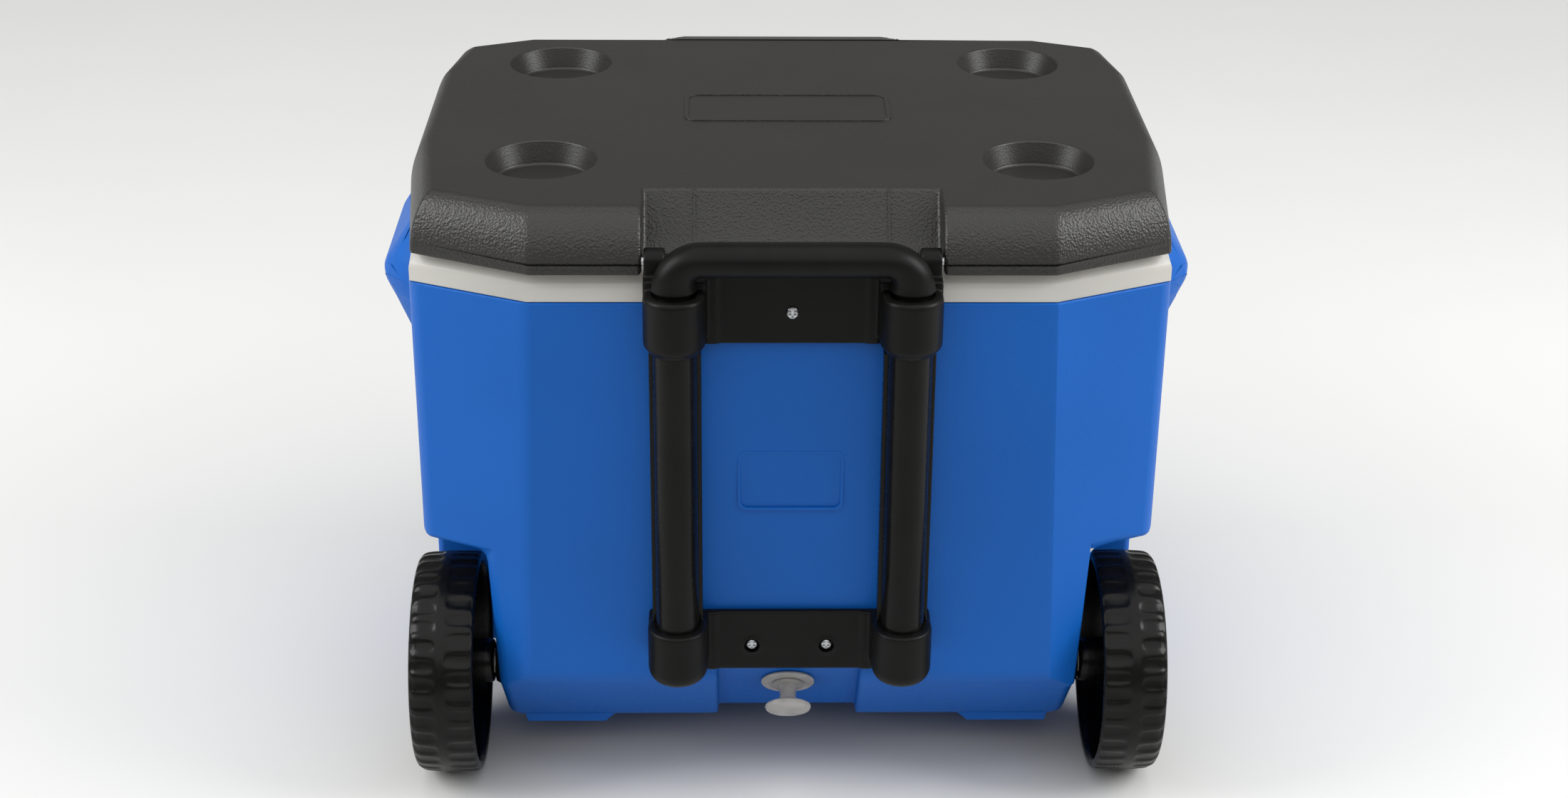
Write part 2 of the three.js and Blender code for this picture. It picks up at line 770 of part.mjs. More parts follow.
const upperBracket = cut(
  add(
    box(-post.x, post.x, plateY - plate.thickness, plateY, plate.upperBottomZ, plate.upperTopZ),
    ...postSides.flatMap(([sign]) => [sleeveRing(sign), ear(sign)]),
  ),
  ...postSides.flatMap(([sign]) => [
    vertical(sign * post.x, post.y, sleeve.bottomZ - 20, post.topZ + gap, post.radius + gap),
    vertical(sign * post.x, post.y, post.topZ, sleeve.topZ + 20, slideTube.radius + gap),
    rod(
      at(sign * (hinge.earInnerX - 5), hinge.y, hinge.z),
      at(sign * (hinge.earOuterX + 5), hinge.y, hinge.z),
      hinge.pinRadius + gap,
    ),
  ]),
  screwHole(screwSeats[0], gap),
);
const socketTopZ = cupSocket.bottomZ + cupSocket.height;
const socketBlock = (sign) =>
  add(
    vertical(sign * post.x, post.y, cupSocket.bottomZ, socketTopZ, cupSocket.radius),
    box(
      sign * post.x - cupSocket.radius,
      sign * post.x + cupSocket.radius,
      post.y + 6,
      lowerPlateY,
      cupSocket.bottomZ,
      plate.lowerTopZ,
    ),
  );
const lowerBracket = cut(
  add(
    box(-post.x, post.x, lowerPlateY - plate.thickness, lowerPlateY, plate.lowerBottomZ, plate.lowerTopZ),
    ...postSides.map(([sign]) => socketBlock(sign)),
  ),
  ...postSides.map(([sign]) =>
    vertical(sign * post.x, post.y, post.footZ - gap, post.footZ + beyond, post.radius + gap),
  ),
  ...screwSeats.slice(1).map((seat) => screwHole(seat, gap)),
);

const tubeOf = (sign, radius, wall, z0, z1) => {
  const x = sign * post.x;
  return cut(vertical(x, post.y, z0, z1, radius), vertical(x, post.y, z0 - 5, z1 + 5, radius - wall));
};

const slideTubeTopZ = grip.legFootZ + slideTube.reachIntoGrip;
const glideRadius = post.radius - post.wall - gap;
const glideTopZ = post.topZ - gap - pullTravel; // meets the bracket's lip at the end of the travel
const glide = (sign) =>
  cut(
    vertical(sign * post.x, post.y, slideTube.footZ - 6, glideTopZ, glideRadius),
    vertical(sign * post.x, post.y, slideTube.footZ - gap, glideTopZ + 5, slideTube.radius + gap),
  );

// The grip's centre line: up one leg, round a bend, along the bar and down the other leg
function gripSolid() {
  const line = [];
  const bendSteps = 6;
  const top = grip.legFootZ + grip.rise;
  const corner = post.x - grip.bend;
  line.push({ x: -post.x, z: grip.legFootZ, turn: 0, grow: 0.9 });
  line.push({ x: -post.x, z: top - grip.bend, turn: 0, grow: 1 });
  for (let i = 1; i <= bendSteps; i++) {
    const angle = (i / bendSteps) * (Math.PI / 2);
    line.push({
      x: -corner - grip.bend * Math.cos(angle),
      z: top - grip.bend + grip.bend * Math.sin(angle),
      turn: angle,
      grow: 1,
    });
  }
  const rightHalf = line.map((p) => ({ ...p, x: -p.x, turn: Math.PI - p.turn })).reverse();
  const sides = 20;
  const rings = [...line, ...rightHalf].map(({ x, z, turn, grow }) => {
    const level = Math.abs(Math.sin(turn));
    const half = (grip.legHalfWidth * (1 - level) + grip.barHalfHeight * level) * grow;
    const across = at(Math.cos(turn), 0, -Math.sin(turn));
    return Array.from({ length: sides }, (_, k) => {
      const angle = (k / sides) * 2 * Math.PI;
      return at(x, post.y, z)
        .addScaledVector(across, half * Math.cos(angle))
        .addScaledVector(at(0, 1, 0), grip.halfDepth * grow * Math.sin(angle));
    });
  });
  return loft(rings);
}
const gripHandle = cut(
  gripSolid(),
  ...postSides.map(([sign]) =>
    vertical(sign * post.x, post.y, grip.legFootZ - 5, slideTubeTopZ + gap, slideTube.radius + gap),
  ),
);

const hingePin = (sign) =>
  rod(
    at(sign * hinge.earInnerX, hinge.y, hinge.z),
    at(sign * (recess.halfWidth + hinge.pinReach), hinge.y, hinge.z),
    hinge.pinRadius,
    hinge.pinRadius,
    20,
  );

const screwPiece = (seat) =>
  turned(
    [
      [0, -screw.headHeight - gap],
      [screw.headRadius - 1.4, -screw.headHeight - gap],
      [screw.headRadius, -screw.headHeight / 3 - gap],
      [screw.headRadius, -gap],
      [screw.shankRadius, -gap],
      [screw.shankRadius, screw.length - 3],
      [0, screw.length],
    ],
    at(seat.x, seat.y, seat.z),
    at(0, 1, 0),
    16,
  );

// ---------- Lid ----------
const lidBottomCorners = mirrored([
  [lid.rearKinkX, lid.rearY],
  [lid.cornerX, lid.cornerRearY],
  [lid.sideX, tub.sideRearY],
  [lid.sideX, tub.sideFrontY],
  [lid.frontCornerX, lid.cornerFrontY],
  [lid.frontKinkX, lid.frontY],
]);
const lidTopCorners = mirrored([
  [lid.rearKinkX, lid.rearY + lid.topInset],
  [lid.cornerX - lid.sideTopInset, lid.cornerRearY + lid.rearCornerTopInset],
  [lid.sideX - lid.sideTopInset, tub.sideRearY],
  [lid.sideX - lid.sideTopInset, tub.sideFrontY],
  [lid.frontCornerX - lid.frontCornerTopInset, lid.cornerFrontY - lid.frontCornerTopSetback],
  [lid.frontKinkX, lid.frontY - lid.topInset],
]);
function lidForm(inset, bottomZ, topZ) {
  const outline = (share) => {
    const corners = lidBottomCorners.map((p, i) => p.clone().lerp(lidTopCorners[i], share));
    return roundOutline(insetOutline(corners, inset), tub.cornerRound);
  };
  // Share of the way from the lower outline to the upper one, at each share of the height
  const profile = [[0, 0], [0.25, 0.03], [0.6, 0.33], [0.9, 0.8], [1, 1]];
  return loft(profile.map(([up, share]) => ringAt(outline(share), bottomZ + up * (topZ - bottomZ))));
}
// What the recess for the pull handle removes, grown by a wall
function recessCut(wall) {
  return acrossX(
    [
      [lid.rearY - 30, lidZ - 30],
      [recess.footY + wall, lidZ - 30],
      [recess.footY + wall, recess.footZ],
      [recess.heelY + wall, recess.heelZ],
      [recess.topY + wall, lidTopZ],
      [recess.topY + wall + 8, lidTopZ + 13],
      [lid.rearY - 30, lidTopZ + 13],
    ],
    -recess.halfWidth - wall,
    recess.halfWidth + wall,
  );
}
// The opening lip that runs out of the lid's front edge
function frontLip() {
  const ring = (half, reach, z) =>
    ringAt(
      [
        new THREE.Vector2(-half, lid.frontY - lid.topInset - 14),
        new THREE.Vector2(half, lid.frontY - lid.topInset - 14),
        new THREE.Vector2(half, lid.frontY + Math.min(-6, reach - 4)),
        new THREE.Vector2(half - lip.corner, lid.frontY + reach),
        new THREE.Vector2(-half + lip.corner, lid.frontY + reach),
        new THREE.Vector2(-half, lid.frontY + Math.min(-6, reach - 4)),
      ],
      z,
    );
  const half = lip.halfWidth;
  return loft([
    ring(half - 2, lip.reach - 2, lidTopZ - lip.height - 6),
    ring(half, lip.reach, lidTopZ - lip.height),
    ring(half, lip.reach, lidTopZ - 16),
    ring(half - 3, lip.reach - 7, lidTopZ - 9),
    ring(half - 8, -lid.topInset + 4, lidTopZ - 0.6),
  ]);
}
function lidPlaque() {
  const slab = (inset, drop, rise) => {
    const x = plaque.halfWidth - inset;
    const y = plaque.halfDepth - inset;
    return box(-x, x, plaque.y - y, plaque.y + y, lidTopZ - drop, lidTopZ + rise);
  };
  return cut(slab(0, 1, plaque.proud), slab(plaque.line, 5, 5));
}
const cupPlaces = [cup.rearY, cup.frontY].flatMap((y) => [[-cup.x, y], [cup.x, y]]);
const cupCone = ([x, y], grow, rise) => {
  const rimRadius = cup.rimRadius + grow;
  const floor = at(x, y, lidTopZ - cup.depth - grow);
  return rod(floor, at(x, y, lidTopZ + rise), rimRadius - cup.draft, rimRadius, 24);
};
const hingeBoss = (sign, grow) =>
  rod(
    at(sign * (recess.halfWidth + 0.01 - grow), hinge.y, hinge.z),
    at(sign * (recess.halfWidth + hinge.pinReach + 3 + grow), hinge.y, hinge.z),
    hinge.pinRadius + hinge.bossWall + grow,
    hinge.pinRadius + hinge.bossWall + grow,
    20,
  );
const lidHollow = (grow) =>
  cut(
    lidForm(shellWall + grow, lidZ - 1, lidTopZ - shellWall - grow),
    recessCut(shellWall + grow),
    ...cupPlaces.map((place) => cupCone(place, shellWall + grow, shellWall)),
    ...[1, -1].map((sign) => hingeBoss(sign, grow)),
  );
const lidShell = cut(
  add(lidForm(0, lidZ, lidTopZ), frontLip(), lidPlaque()),
  recessCut(0),
  ...cupPlaces.map((place) => cupCone(place, 0, 0.02)),
  lidHollow(0),
  ...[1, -1].map((sign) =>
    rod(
      at(sign * (recess.halfWidth - 5), hinge.y, hinge.z),
      at(sign * (recess.halfWidth + hinge.pinReach + gap), hinge.y, hinge.z),
      hinge.pinRadius + gap,
      hinge.pinRadius + gap,
      20,
    ),
  ),
);
const panTopZ = lidZ + 3;
const slabOf = (z0, z1) =>
  box(-lid.sideX - beyond, lid.sideX + beyond, lid.rearY - beyond, lid.frontY + beyond, z0, z1);
const lidPlugOutline = (inset) => tubOutline(cavityInset + lid.plugGap + inset, 0);
const plugSolid = (inset, topZ) =>
  loft([
    ringAt(lidPlugOutline(inset + 4), lidZ - lid.plugDepth + inset),
    ringAt(lidPlugOutline(inset), lidZ - lid.plugDepth + inset + 5),
    ringAt(lidPlugOutline(inset), topZ),
  ]);
const lidPan = cut(
  add(
    cut(
      lidForm(shellWall + gap, lidZ + gap, lidTopZ).intersect(slabOf(lidZ + gap, panTopZ)),
      recessCut(shellWall + gap),
    ),
    plugSolid(0, panTopZ - 0.5).subtract(recessCut(shellWall + gap)),
  ),
  ...[1, -1].map((sign) => hingeBoss(sign, gap)),
  plugSolid(linerWall, panTopZ + 5).subtract(recessCut(shellWall + gap + linerWall)),
);
const lidFoam = add(
  cut(lidHollow(gap), slabOf(lidZ - beyond, panTopZ + gap)),
  cut(plugSolid(linerWall + gap, panTopZ + 2), recessCut(shellWall + gap + linerWall + gap + 0.5)),
);

// ---------- Assembly ----------
const cooler = new THREE.Group();
const assembly = new THREE.Group(); // carries the whole object so that its footprint is centred on the origin
assembly.position.y = -middleY;
cooler.add(assembly);
function place(name, solid, material) {
  const mesh = new THREE.Mesh(toGeometry(solid), material);
  mesh.name = name;
  assembly.add(mesh);
}

place("outer_shell", outerShell, bluePlastic);
place("foam_core", foamCore, foam);
place("inner_liner", innerLiner, whitePlastic);
place("lid_shell", lidShell, charcoalPlastic);
place("lid_foam", lidFoam, foam);
place("lid_pan", lidPan, whitePlastic);
place("upper_bracket", upperBracket, blackPlastic);
place("lower_bracket", lowerBracket, blackPlastic);
place("grip", gripHandle, blackPlastic);
for (const [sign, side] of postSides) {
  place("outer_tube_" + side, tubeOf(sign, post.radius, post.wall, post.footZ, post.topZ), blackTube);
  place(
    "slide_tube_" + side,
    tubeOf(sign, slideTube.radius, slideTube.wall, slideTube.footZ, slideTubeTopZ),
    blackTube,
  );
  place("glide_" + side, glide(sign), nylon);
  place("hinge_pin_" + side, hingePin(sign), steel);
  for (const [name, solid, material] of wheelParts(sign, side)) place(name, solid, material);
}
for (const seat of screwSeats) place(seat.name, screwPiece(seat), steel);
place("drain_spout", spout, clearPlastic);
place("drain_gasket", drainGasket, rubber);
place("drain_nut", drainNut, clearPlastic);
place("drain_plug", drainPlug, clearPlastic);

export default cooler;
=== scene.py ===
import json
from math import atan2, cos, pi, radians, sin, sqrt

import bmesh
import bpy
from mathutils import Matrix, Vector


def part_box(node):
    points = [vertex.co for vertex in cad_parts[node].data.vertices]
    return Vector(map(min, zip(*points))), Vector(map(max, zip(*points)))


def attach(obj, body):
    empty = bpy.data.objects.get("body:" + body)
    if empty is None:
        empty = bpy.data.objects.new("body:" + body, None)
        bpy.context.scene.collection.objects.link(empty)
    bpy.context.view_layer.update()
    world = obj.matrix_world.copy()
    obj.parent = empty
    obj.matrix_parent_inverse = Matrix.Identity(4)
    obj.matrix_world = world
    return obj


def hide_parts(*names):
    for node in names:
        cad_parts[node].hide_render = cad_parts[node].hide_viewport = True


bl_info = {
    "name": "Wheeled Cooler",
    "version": (1, 0, 0),
    "blender": (4, 5, 0),
    "location": "3D View > Sidebar > Cooler",
    "description": "Builds the outer look of a wheeled cooler around its engineering model",
    "category": "Add Mesh",
}

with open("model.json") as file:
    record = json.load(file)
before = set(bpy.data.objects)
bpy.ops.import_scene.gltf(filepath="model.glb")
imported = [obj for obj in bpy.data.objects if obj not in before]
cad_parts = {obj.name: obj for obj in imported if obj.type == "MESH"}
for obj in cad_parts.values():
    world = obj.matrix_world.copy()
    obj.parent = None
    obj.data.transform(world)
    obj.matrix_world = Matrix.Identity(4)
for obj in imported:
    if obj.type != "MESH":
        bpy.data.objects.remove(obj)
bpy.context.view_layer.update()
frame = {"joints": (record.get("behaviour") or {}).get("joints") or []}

MM = 0.001
NEAR = 2e-5  # two places closer than this are the same place
X, Y, Z = Vector((1, 0, 0)), Vector((0, 1, 0)), Vector((0, 0, 1))
SIDES = (("left", -1), ("right", 1))


# ---------- Places taken from the engineering model ----------
def low(node):
    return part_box(node)[0]


def high(node):
    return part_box(node)[1]


def middle(node):
    return (low(node) + high(node)) / 2


def joint(name):
    return next(j for j in frame["joints"] if j["name"] == name)


BACK = low("outer_shell").y
FRONT = high("outer_shell").y
TUB_TOP = low("inner_liner").z + 323 * MM
RIM_TOP = high("inner_liner").z
LID_BOTTOM, LID_TOP = low("lid_shell").z, high("lid_shell").z - 0.8 * MM
LID_BACK = low("lid_shell").y
LID_FRONT = high("lid_shell").y - 20 * MM
PLATE_Y = BACK - 0.3 * MM
HINGE = Vector(joint("lid_hinge")["pos_m"])
DRAIN_AXIS = Vector(joint("drain_plug_pull")["axis"]).normalized()

# ---------- Shape of the tub, as it was drawn ----------
WALL = 3 * MM
LINER_IN = 25 * MM  # from the tub's outer face to the liner's hidden face
LINER_WALL = 2.5 * MM
BASE = 40 * MM
KNEE = 97 * MM  # where the back face turns under
UNDERCUT_RUN = 44.5 * MM
UNDERCUT_DROP = KNEE - BASE
UNDERCUT_SLOPE = UNDERCUT_DROP / UNDERCUT_RUN
BACK_DRAFT = 4.5 * MM
BAY_HALF, BAY_DEPTH = 50 * MM, 9 * MM
WELL_X, WELL_TOP, WELL_LEAN, WELL_ROOM = 211 * MM, 193 * MM, 0.05, 14 * MM
HANDLE_REACH, HANDLE_RIDGE, HANDLE_LOW = 290 * MM, 348 * MM, 290 * MM
HANDLE_FLAT, HANDLE_END = 60 * MM, 88 * MM
SIDE_X = 262 * MM
CENTRE_Y = BACK + 212 * MM  # midway between the front and back cup holders
CUP_PLACE = (169.7 * MM, 107.4 * MM)  # a cup holder's place to the side of and in front of that middle
CUPS = [(i * CUP_PLACE[0], CENTRE_Y + j * CUP_PLACE[1]) for i in (-1, 1) for j in (-1, 1)]
PIN_HOLE, SPOUT_HOLE, AXLE_HOLE = 3.3 * MM, 11.3 * MM, 6.3 * MM
PLATE = 5.5 * MM  # the brackets' plates
SCREW_X, SCREW_Z = 26 * MM, 129 * MM  # the lower bracket's screws
DRAIN_Z = 83 * MM
RECESS_HALF = 98.5 * MM  # the lid's recess for the pull handle
LABEL_Z = 256.5 * MM  # the middle of the plain frame on the back


# ---------- Modelling helpers ----------
def to_object_mode():
    if bpy.context.object and bpy.context.object.mode != "OBJECT":
        bpy.ops.object.mode_set(mode="OBJECT")


def only(piece):
    """Leaves one piece selected and active, in object mode"""
    nothing()
    piece.select_set(True)
    bpy.context.view_layer.objects.active = piece
    return piece


def edit(piece):
    """Opens a piece in edit mode with everything selected"""
    only(piece)
    bpy.ops.object.mode_set(mode="EDIT")
    everything()


def everything():
    bpy.ops.mesh.select_all(action="SELECT")


def nothing():
    """Clears the selection, in object mode"""
    to_object_mode()
    bpy.ops.object.select_all(action="DESELECT")


def pick(kind, test):
    """Selects the vertices, edges or faces that pass a test, in edit mode"""
    bpy.ops.mesh.select_mode(type=kind)
    bpy.ops.mesh.select_all(action="DESELECT")
    mesh = bmesh.from_edit_mesh(bpy.context.object.data)
    parts = {"VERT": mesh.verts, "EDGE": mesh.edges, "FACE": mesh.faces}[kind]
    for part in parts:
        if test(part):
            part.select_set(True)
    mesh.select_flush_mode()
    bmesh.update_edit_mesh(bpy.context.object.data)


def added(name):
    """Names the primitive that was just added"""
    piece = bpy.context.object
    piece.name = piece.data.name = name
    bpy.ops.object.transform_apply(location=True, rotation=True, scale=True)
    return piece


def trace(name, points):
    """A flat face whose corners are drawn one after another from a single vertex"""
    nothing()
    bpy.ops.mesh.primitive_plane_add(size=MM)
    piece = added(name)
    bpy.ops.object.mode_set(mode="EDIT")
    bpy.ops.mesh.select_mode(type="VERT")
    everything()
    bpy.ops.mesh.merge(type="CENTER")
    bpy.ops.transform.translate(value=points[0])
    for start, end in zip(points, points[1:]):
        bpy.ops.mesh.extrude_vertices_move(TRANSFORM_OT_translate={"value": end - start})
    everything()
    bpy.ops.mesh.edge_face_add()
    everything()
    return piece


def face_out(piece):
    edit(piece)
    bpy.ops.mesh.normals_make_consistent(inside=False)
    to_object_mode()
    return piece


def extruded(name, points, along):
    """A traced outline drawn out in one direction"""
    piece = trace(name, points)
    bpy.ops.mesh.extrude_region_move(TRANSFORM_OT_translate={"value": along})
    return face_out(piece)


def loft(name, rings):
    """A traced ring extruded to each next ring, whose corners are then moved into place"""
    piece = trace(name, rings[0])
    for ring, following in zip(rings, rings[1:]):
        shift = following[0] - ring[0]
        bpy.ops.mesh.extrude_region_move(TRANSFORM_OT_translate={"value": shift})
        for old, new in zip(ring, following):
            move = new - old - shift
            if move.length > NEAR:
                pick("VERT", lambda v: v.select or (v.co - old - shift).length < NEAR)
                bpy.ops.transform.translate(value=move)
        wanted = [p.copy() for p in following]
        pick("VERT", lambda v: any((v.co - p).length < NEAR for p in wanted))
        bpy.ops.mesh.select_mode(type="FACE")
    return face_out(piece)


def block(name, corner, opposite):
    """A box between two corners"""
    nothing()
    size = Vector(opposite) - Vector(corner)
    bpy.ops.mesh.primitive_cube_add(size=1, location=(Vector(corner) + Vector(opposite)) / 2, scale=size)
    return added(name)


def strip(name, side, near, far, first, last):
    """A box from near to far out to one side, between two corners in Y and Z"""
    start, end = sorted((side * near, side * far))
    return block(name, (start, *first), (end, *last))


def rod(name, start, end, radius, sides=64, end_radius=None):
    """A round bar or cone between two places"""
    nothing()
    along = end - start
    turn = Z.rotation_difference(along).to_euler()
    last = radius if end_radius is None else end_radius
    bpy.ops.mesh.primitive_cone_add(
        vertices=sides, radius1=radius, radius2=last, depth=along.length, location=(start + end) / 2, rotation=turn
    )
    return added(name)


def turned(name, profile, origin, axis, steps=64):
    """A profile of (radius, distance along the axis) spun once round the axis"""
    side = axis.orthogonal().normalized()
    points = [origin + side * radius + axis * along for radius, along in profile]
    piece = trace(name, points)
    bpy.ops.mesh.delete(type="ONLY_FACE")
    everything()
    bpy.ops.mesh.spin(steps=steps, angle=2 * pi, center=origin, axis=axis)
    everything()
    bpy.ops.mesh.remove_doubles(threshold=NEAR)
    bpy.ops.mesh.dissolve_degenerate(threshold=NEAR)
    return face_out(piece)


def in_mm(pairs):
    return [(a * MM, b * MM) for a, b in pairs]


def on_hinge(side, out_mm):
    """A place on the lid's hinge axis"""
    return Vector((side * out_mm * MM, HINGE.y, HINGE.z))


def modified(piece, kind, **settings):
    """Adds one modifier, sets it and applies it"""
    only(piece)
    bpy.ops.object.modifier_add(type=kind)
    modifier = piece.modifiers[-1]
    for key, value in settings.items():
        setattr(modifier, key, value)
    bpy.ops.object.modifier_apply(modifier=modifier.name)
    return piece


def carve(piece, tool, how="DIFFERENCE"):
    """Cuts a tool out of a piece, or joins it on, and throws the tool away"""
    modified(piece, "BOOLEAN", operation=how, solver="EXACT", object=tool)
    bpy.data.objects.remove(tool)
    return piece


def join(piece, tool):
    return carve(piece, tool, "UNION")


def crease(edge):
    """How far an edge turns, in degrees"""
    return edge.calc_face_angle(0) * 180 / pi


def round_edges(piece, widths, segments=4, least=12):
    """Rounds every crease by the width in mm that widths gives for its middle, direction and faces"""
    edit(piece)
    bpy.ops.mesh.remove_doubles(threshold=NEAR)
    mesh = bmesh.from_edit_mesh(piece.data)
    layer = mesh.edges.layers.float.get("bevel_weight_edge") or mesh.edges.layers.float.new("bevel_weight_edge")
    wanted = {}
    for edge in mesh.edges:
        if crease(edge) > least:
            start, end = (v.co / MM for v in edge.verts)
            wanted[edge.index] = widths((start + end) / 2, (end - start).normalized(), edge)
    widest = max(wanted.values(), default=0)
    if widest == 0:
        raise RuntimeError(f"{piece.name} has no edge to round")
    for edge in mesh.edges:
        edge[layer] = wanted.get(edge.index, 0) / widest
    bmesh.update_edit_mesh(piece.data)
    settings = {"limit_method": "WEIGHT", "width": widest * MM, "segments": segments, "use_clamp_overlap": False}
    return modified(piece, "BEVEL", **settings)


def smooth(piece, angle=35, weighted=True):
    """Smooth shading that keeps the flat faces flat"""
    only(piece)
    bpy.ops.object.shade_smooth_by_angle(angle=radians(angle))
    return modified(piece, "WEIGHTED_NORMAL", keep_sharp=True) if weighted else piece


def subdivided(piece, levels):
    """A subdivision surface with the same levels in view and render, applied"""
    return modified(piece, "SUBSURF", levels=levels, render_levels=levels)


def moulded(piece, voxel, passes):
    """Runs the joined solids together into one skin with small soft edges, as a mould leaves them"""
    modified(piece, "REMESH", mode="VOXEL", voxel_size=voxel)
    return modified(piece, "SMOOTH", factor=0.5, iterations=passes)


def twin(piece, name):
    """A copy with its own mesh, mirrored to the other side"""
    only(piece)
    bpy.ops.object.duplicate()
    other = bpy.context.object
    other.name = other.data.name = name
    bpy.ops.object.mode_set(mode="EDIT")
    everything()
    bpy.ops.transform.resize(value=(-1, 1, 1), center_override=(0, 0, 0))
    to_object_mode()
    return face_out(other)


def stands_for(piece, body, slot, material, *nodes):
    """Gives a finished piece its body and material, in place of the engineering nodes; the slot argument is not
    used
    """
    piece.data.materials.clear()
    piece.data.materials.append(material)
    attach(piece, body)
    if nodes:
        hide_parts(*nodes)
    return piece


# ---------- Outlines ----------
def mirrored(half):
    right = [Vector((x * MM, y, 0)) for x, y in half]
    return right + [Vector((-p.x, p.y, 0)) for p in reversed(right)]


def inset(points, distance):
    """Moves each edge of a convex, anticlockwise outline inwards"""
    moved = []
    for i, corner in enumerate(points):
        before = (corner - points[i - 1]).normalized()
        after = (points[(i + 1) % len(points)] - corner).normalized()
        inwards = Vector((-before.y, before.x, 0)) + Vector((-after.y, after.x, 0))
        moved.append(corner + inwards * (distance / (1 + before.dot(after))))
    return moved


def blended(first, second, share):
    return [a.lerp(b, share) for a, b in zip(first, second)]


def raised(points, height):
    return [Vector((p.x, p.y, height)) for p in points]


TUB_TOP_PLAN = mirrored([
    (175, BACK),
    (256, BACK + 37 * MM),
    (262, BACK + 152 * MM),
    (262, FRONT - 92 * MM),
    (256, FRONT - 36 * MM),
    (188, FRONT),
])
TUB_FOOT_PLAN = mirrored([
    (185, BACK + BACK_DRAFT),
    (256, BACK + 39 * MM),
    (262, BACK + 152 * MM),
    (262, FRONT - 92 * MM),
    (252, FRONT - 44 * MM),
    (180, FRONT - 8 * MM),
])
LID_FOOT_PLAN = mirrored([
    (172, LID_BACK),
    (253, LID_BACK + 40 * MM),
    (266, LID_BACK + 160 * MM),
    (266, LID_FRONT - 99 * MM),
    (260, LID_FRONT - 37 * MM),
    (195, LID_FRONT),
])
LID_TOP_PLAN = mirrored([
    (172, LID_BACK + 25 * MM),
    (238, LID_BACK + 55 * MM),
    (251, LID_BACK + 160 * MM),
    (251, LID_FRONT - 99 * MM),
    (239, LID_FRONT - 43 * MM),
    (195, LID_FRONT - 25 * MM),
])


# ---------- Tub forms ----------
def undercut_line(y, deeper):
    """Height of the sloping face under the back, moved inwards by deeper"""
    rise = deeper * sqrt(1 + UNDERCUT_SLOPE**2)
    return KNEE + rise - (y - BACK - BACK_DRAFT) * UNDERCUT_SLOPE


def well_cutter(side, deeper):
    """The room for one wheel, grown by deeper"""
    wheel_y = joint("wheel_left_spin")["pos_m"][1]
    radius = high("wheel_left").z / 2
    inner, top, foot, far = WELL_X - deeper, WELL_TOP + deeper, -20 * MM, SIDE_X + 60 * MM
    start = BACK - 40 * MM
    end = wheel_y + radius + WELL_ROOM + deeper
    corners = [(inner - WELL_LEAN * (top - foot), foot), (inner, top), (far, top), (far, foot)]
    points = [Vector((side * x, start, z)) for x, z in corners]
    return extruded("well cutter", points, Y * (end - start))


def tub_form(name, deeper, top):
    """The tub's form with each face moved inwards by deeper, up to a height"""
    base = BASE + deeper
    rings = [
        raised(inset(TUB_FOOT_PLAN, deeper), base),
        raised(inset(TUB_FOOT_PLAN, deeper), KNEE),
        raised(inset(TUB_TOP_PLAN, deeper), TUB_TOP),
    ]
    if top > TUB_TOP + NEAR:
        rings.append(raised(inset(TUB_TOP_PLAN, deeper), top))
    form = loft(name, rings)
    normal = Vector((0, -UNDERCUT_DROP, -UNDERCUT_RUN)).normalized()
    edit(form)
    bpy.ops.mesh.bisect(
        plane_co=(0, BACK + BACK_DRAFT, undercut_line(BACK + BACK_DRAFT, deeper)),
        plane_no=normal,
        use_fill=True,
        clear_outer=True,
    )
    to_object_mode()
    bay = BAY_DEPTH + deeper
    half = BAY_HALF + deeper
    back, foot = BACK - 30 * MM, -20 * MM
    reach = BACK + BACK_DRAFT + (undercut_line(BACK + BACK_DRAFT, bay) - foot) / UNDERCUT_SLOPE
    wedge = [(back, foot), (reach, foot), (back, undercut_line(back, bay))]
    carve(form, extruded("bay cutter", [Vector((-half, y, z)) for y, z in wedge], X * 2 * half))
    for _, side in SIDES:
        carve(form, well_cutter(side, deeper))
    return form


def well_faces(edge, deeper):
    """Which walls of a wheel well an edge belongs to"""
    walls = set()
    for face in edge.link_faces:
        centre, normal = face.calc_center_median() / MM, face.normal
        if abs(normal.x) > 0.97 and 195 < abs(centre.x) + deeper / MM < 213 and centre.y < 0:
            walls.add("inner")
        if abs(normal.z) > 0.99 and abs(centre.z - (WELL_TOP + deeper) / MM) < 1.5:
            walls.add("roof")
        if abs(normal.y) > 0.99 and -80 < centre.y < 0 and abs(centre.x) > 150:
            walls.add("front")
    return walls


def tub_rounding(deeper, scale=1.0):
    """Widths of the roundings on a tub form"""

    def width(middle_mm, direction, edge):
        x, y, z = abs(middle_mm.x), middle_mm.y, middle_mm.z
        walls = well_faces(edge, deeper)
        if z > TUB_TOP / MM - 1.5:
            return 1.6
        if z < BASE / MM - 0.5:
            return 2.5 if y > 0 else 0.9
        if len(walls) == 2:
            return 12 * scale
        if "inner" in walls:
            return 9 * scale
        if walls:
            return 5 * scale
        if abs(direction.z) > 0.8:
            return (9 if x > 230 else 4) * scale
        if x < BAY_HALF / MM + deeper / MM + 1 and z < 120 and (edge.calc_length() < 70 * MM or x > 40):
            return 3
        return 7 * scale

    return width


